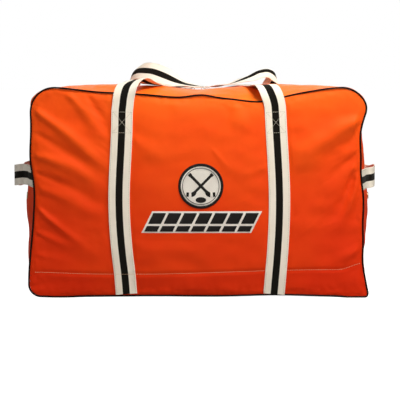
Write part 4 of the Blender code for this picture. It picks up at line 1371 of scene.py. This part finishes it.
def make_bar():
    """A long slanted bar of plain dark blocks on a pale ground."""
    slant, blocks, high = 0.50, 7, BAR_HALF_HIGH - 0.001

    def lay(name, first, last, low, top, steps, rise, look):
        """A slanted block, raised all over but at its edge."""
        x, z = np.linspace(first, last, steps)[:, None], np.linspace(low, top, 9)[None, :]
        at = stack(BAR[0] + x + z * slant, BAR[1] + z)
        raised = np.zeros(at.shape[:2])
        raised[1:-1, 1:-1] = rise
        return patch(name, at, raised, look, flip=True)

    reach = BAR_HALF - high * slant - 0.001
    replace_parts(lay("bar_ground", -reach, reach, -high, high, 70, 0.0009, "patch_white"), "bar_patch")
    step = 2 * (reach - 0.002) / blocks
    for k in range(blocks):
        first = -reach + 0.002 + k * step
        for level, low, top in (("upper", -0.0062, high - 0.0028), ("lower", -high + 0.0028, -0.0080)):
            ends = first + 0.0013, first + step - 0.0013
            lay(f"bar_block_{k}_{level}", *ends, low, top, 12, 0.0016, "patch_black")


# Inside --------------------------------------------------------------------------------------
def make_inside():
    """The liner tray that the hem stitch holds, and the stiff board that lies in it."""
    wall, floor, top = SEAM - 0.0045, 0.0032, 0.0715
    x = np.linspace(-0.3595, 0.3595, 90)
    side = [(-wall, top), (-wall, 0.030), (-wall + 0.002, 0.018), (-wall + 0.012, 0.008)]
    bend = np.array(side + [(-0.150, floor), (-0.075, floor)])
    bend = resample(np.vstack([bend, (bend * [-1, 1])[::-1]]), 0.010, 2)
    points = stack(x[:, None], bend[None, :, 0], bend[None, :, 1])
    upper = smooth((points[..., 2] - 0.012) / 0.03)
    ripple = grain(points, 0.05, 71)
    points[..., 1] -= np.sign(points[..., 1]) * upper * (0.0015 + 0.0015 * ripple)
    liner = thicken(grid_mesh("liner_tray", points, grid_uv(points)), 0.0010)
    dress(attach(liner, "bag"), "liner", "bottom_liner")
    at = Matrix.Translation((0, 0, 0.0075))
    board = slab("stiff_board", rounded(0.35, 0.138, 0.03, 10), 0.003, at, bevel=0.0008)
    dress(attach(board, "bag"), "board", "bottom_board")


# Stage ---------------------------------------------------------------------------------------
def make_stage():
    bpy.ops.mesh.primitive_plane_add(size=60)
    floor = bpy.context.object
    floor.name = "studio_floor"
    s = Shade("studio_floor")
    s.finish(Base_Color=(0.34, 0.335, 0.33, 1), Roughness=0.95, Specular_IOR_Level=0.0)
    seen = s.tree.nodes.new("ShaderNodeLightPath").outputs["Is Camera Ray"]
    s.put(s.shader.inputs["Emission Color"], (1.0, 1.0, 1.0, 1))
    s.put(s.shader.inputs["Emission Strength"], s.times(seen, 0.97))
    floor.data.materials.append(s.material)


def area(name, place, aim, size, power, colour):
    data = bpy.data.lights.new(name, "AREA")
    data.shape = "RECTANGLE"
    data.size, data.size_y = size
    data.energy, data.color = power, colour
    obj = bpy.data.objects.new(name, data)
    bpy.context.scene.collection.objects.link(obj)
    obj.location = place
    obj.rotation_euler = (Vector(aim) - Vector(place)).to_track_quat("-Z", "Y").to_euler()


def make_lights():
    area("key_light", (0.80, -1.00, 2.10), (0.05, -0.1, 0.35), (1.1, 0.8), 62, (1.0, 0.93, 0.84))
    area("front_fill", (0.6, -3.2, 1.0), (0.0, 0, 0.30), (1.8, 1.2), 17, (1.0, 0.95, 0.90))
    area("left_fill", (-2.6, -0.4, 1.3), (-0.3, 0, 0.25), (1.6, 1.6), 11, (1.0, 0.95, 0.92))
    area("back_light", (0.2, 2.4, 1.2), (0, 0.1, 0.4), (1.8, 1.0), 20, (1.0, 0.95, 0.9))
    world = bpy.data.worlds.new("studio_world")
    bpy.context.scene.world = world
    world.use_nodes = True
    tree = world.node_tree
    glow = tree.nodes["Background"]
    glow.inputs["Color"].default_value = (1.0, 0.97, 0.94, 1)
    glow.inputs["Strength"].default_value = 0.14
    white = tree.nodes.new("ShaderNodeBackground")
    white.inputs["Color"].default_value = (1, 1, 1, 1)
    mix = tree.nodes.new("ShaderNodeMixShader")
    tree.links.new(tree.nodes.new("ShaderNodeLightPath").outputs["Is Camera Ray"], mix.inputs[0])
    tree.links.new(glow.outputs[0], mix.inputs[1])
    tree.links.new(white.outputs[0], mix.inputs[2])
    tree.links.new(mix.outputs[0], tree.nodes["World Output"].inputs["Surface"])


VIEW_WIDE = 0.957  # width of the view at the front panel
CAMERA_AWAY = 4.0  # from the front panel
CAMERA_HIGH = 0.56
AIM = Vector((0.005, -SEAM, 0.2355))


def make_camera():
    camera = bpy.data.objects.new("camera", bpy.data.cameras.new("camera"))
    bpy.context.scene.collection.objects.link(camera)
    camera.location = (AIM.x, AIM.y - CAMERA_AWAY, CAMERA_HIGH)
    camera.rotation_euler = (AIM - camera.location).to_track_quat("-Z", "Y").to_euler()
    camera.data.sensor_width = 36
    camera.data.lens = 36 * (AIM - camera.location).length / VIEW_WIDE
    bpy.context.scene.camera = camera
    bpy.context.scene.view_settings.view_transform = "Standard"


make_camera()
make_lights()
make_stage()
make_panel(FRONT)
make_panel(BACK)
make_end(1, "right")
make_end(-1, "left")
make_bottom()
make_top()
make_piping()
make_carry_webbing(FRONT, FRONT_RUN)
make_carry_webbing(BACK, BACK_RUN)
make_grab_webbing()
make_zipper_halves()
make_sliders()
make_zipper_ends()
make_vents()
make_badge()
make_bar()
make_inside()
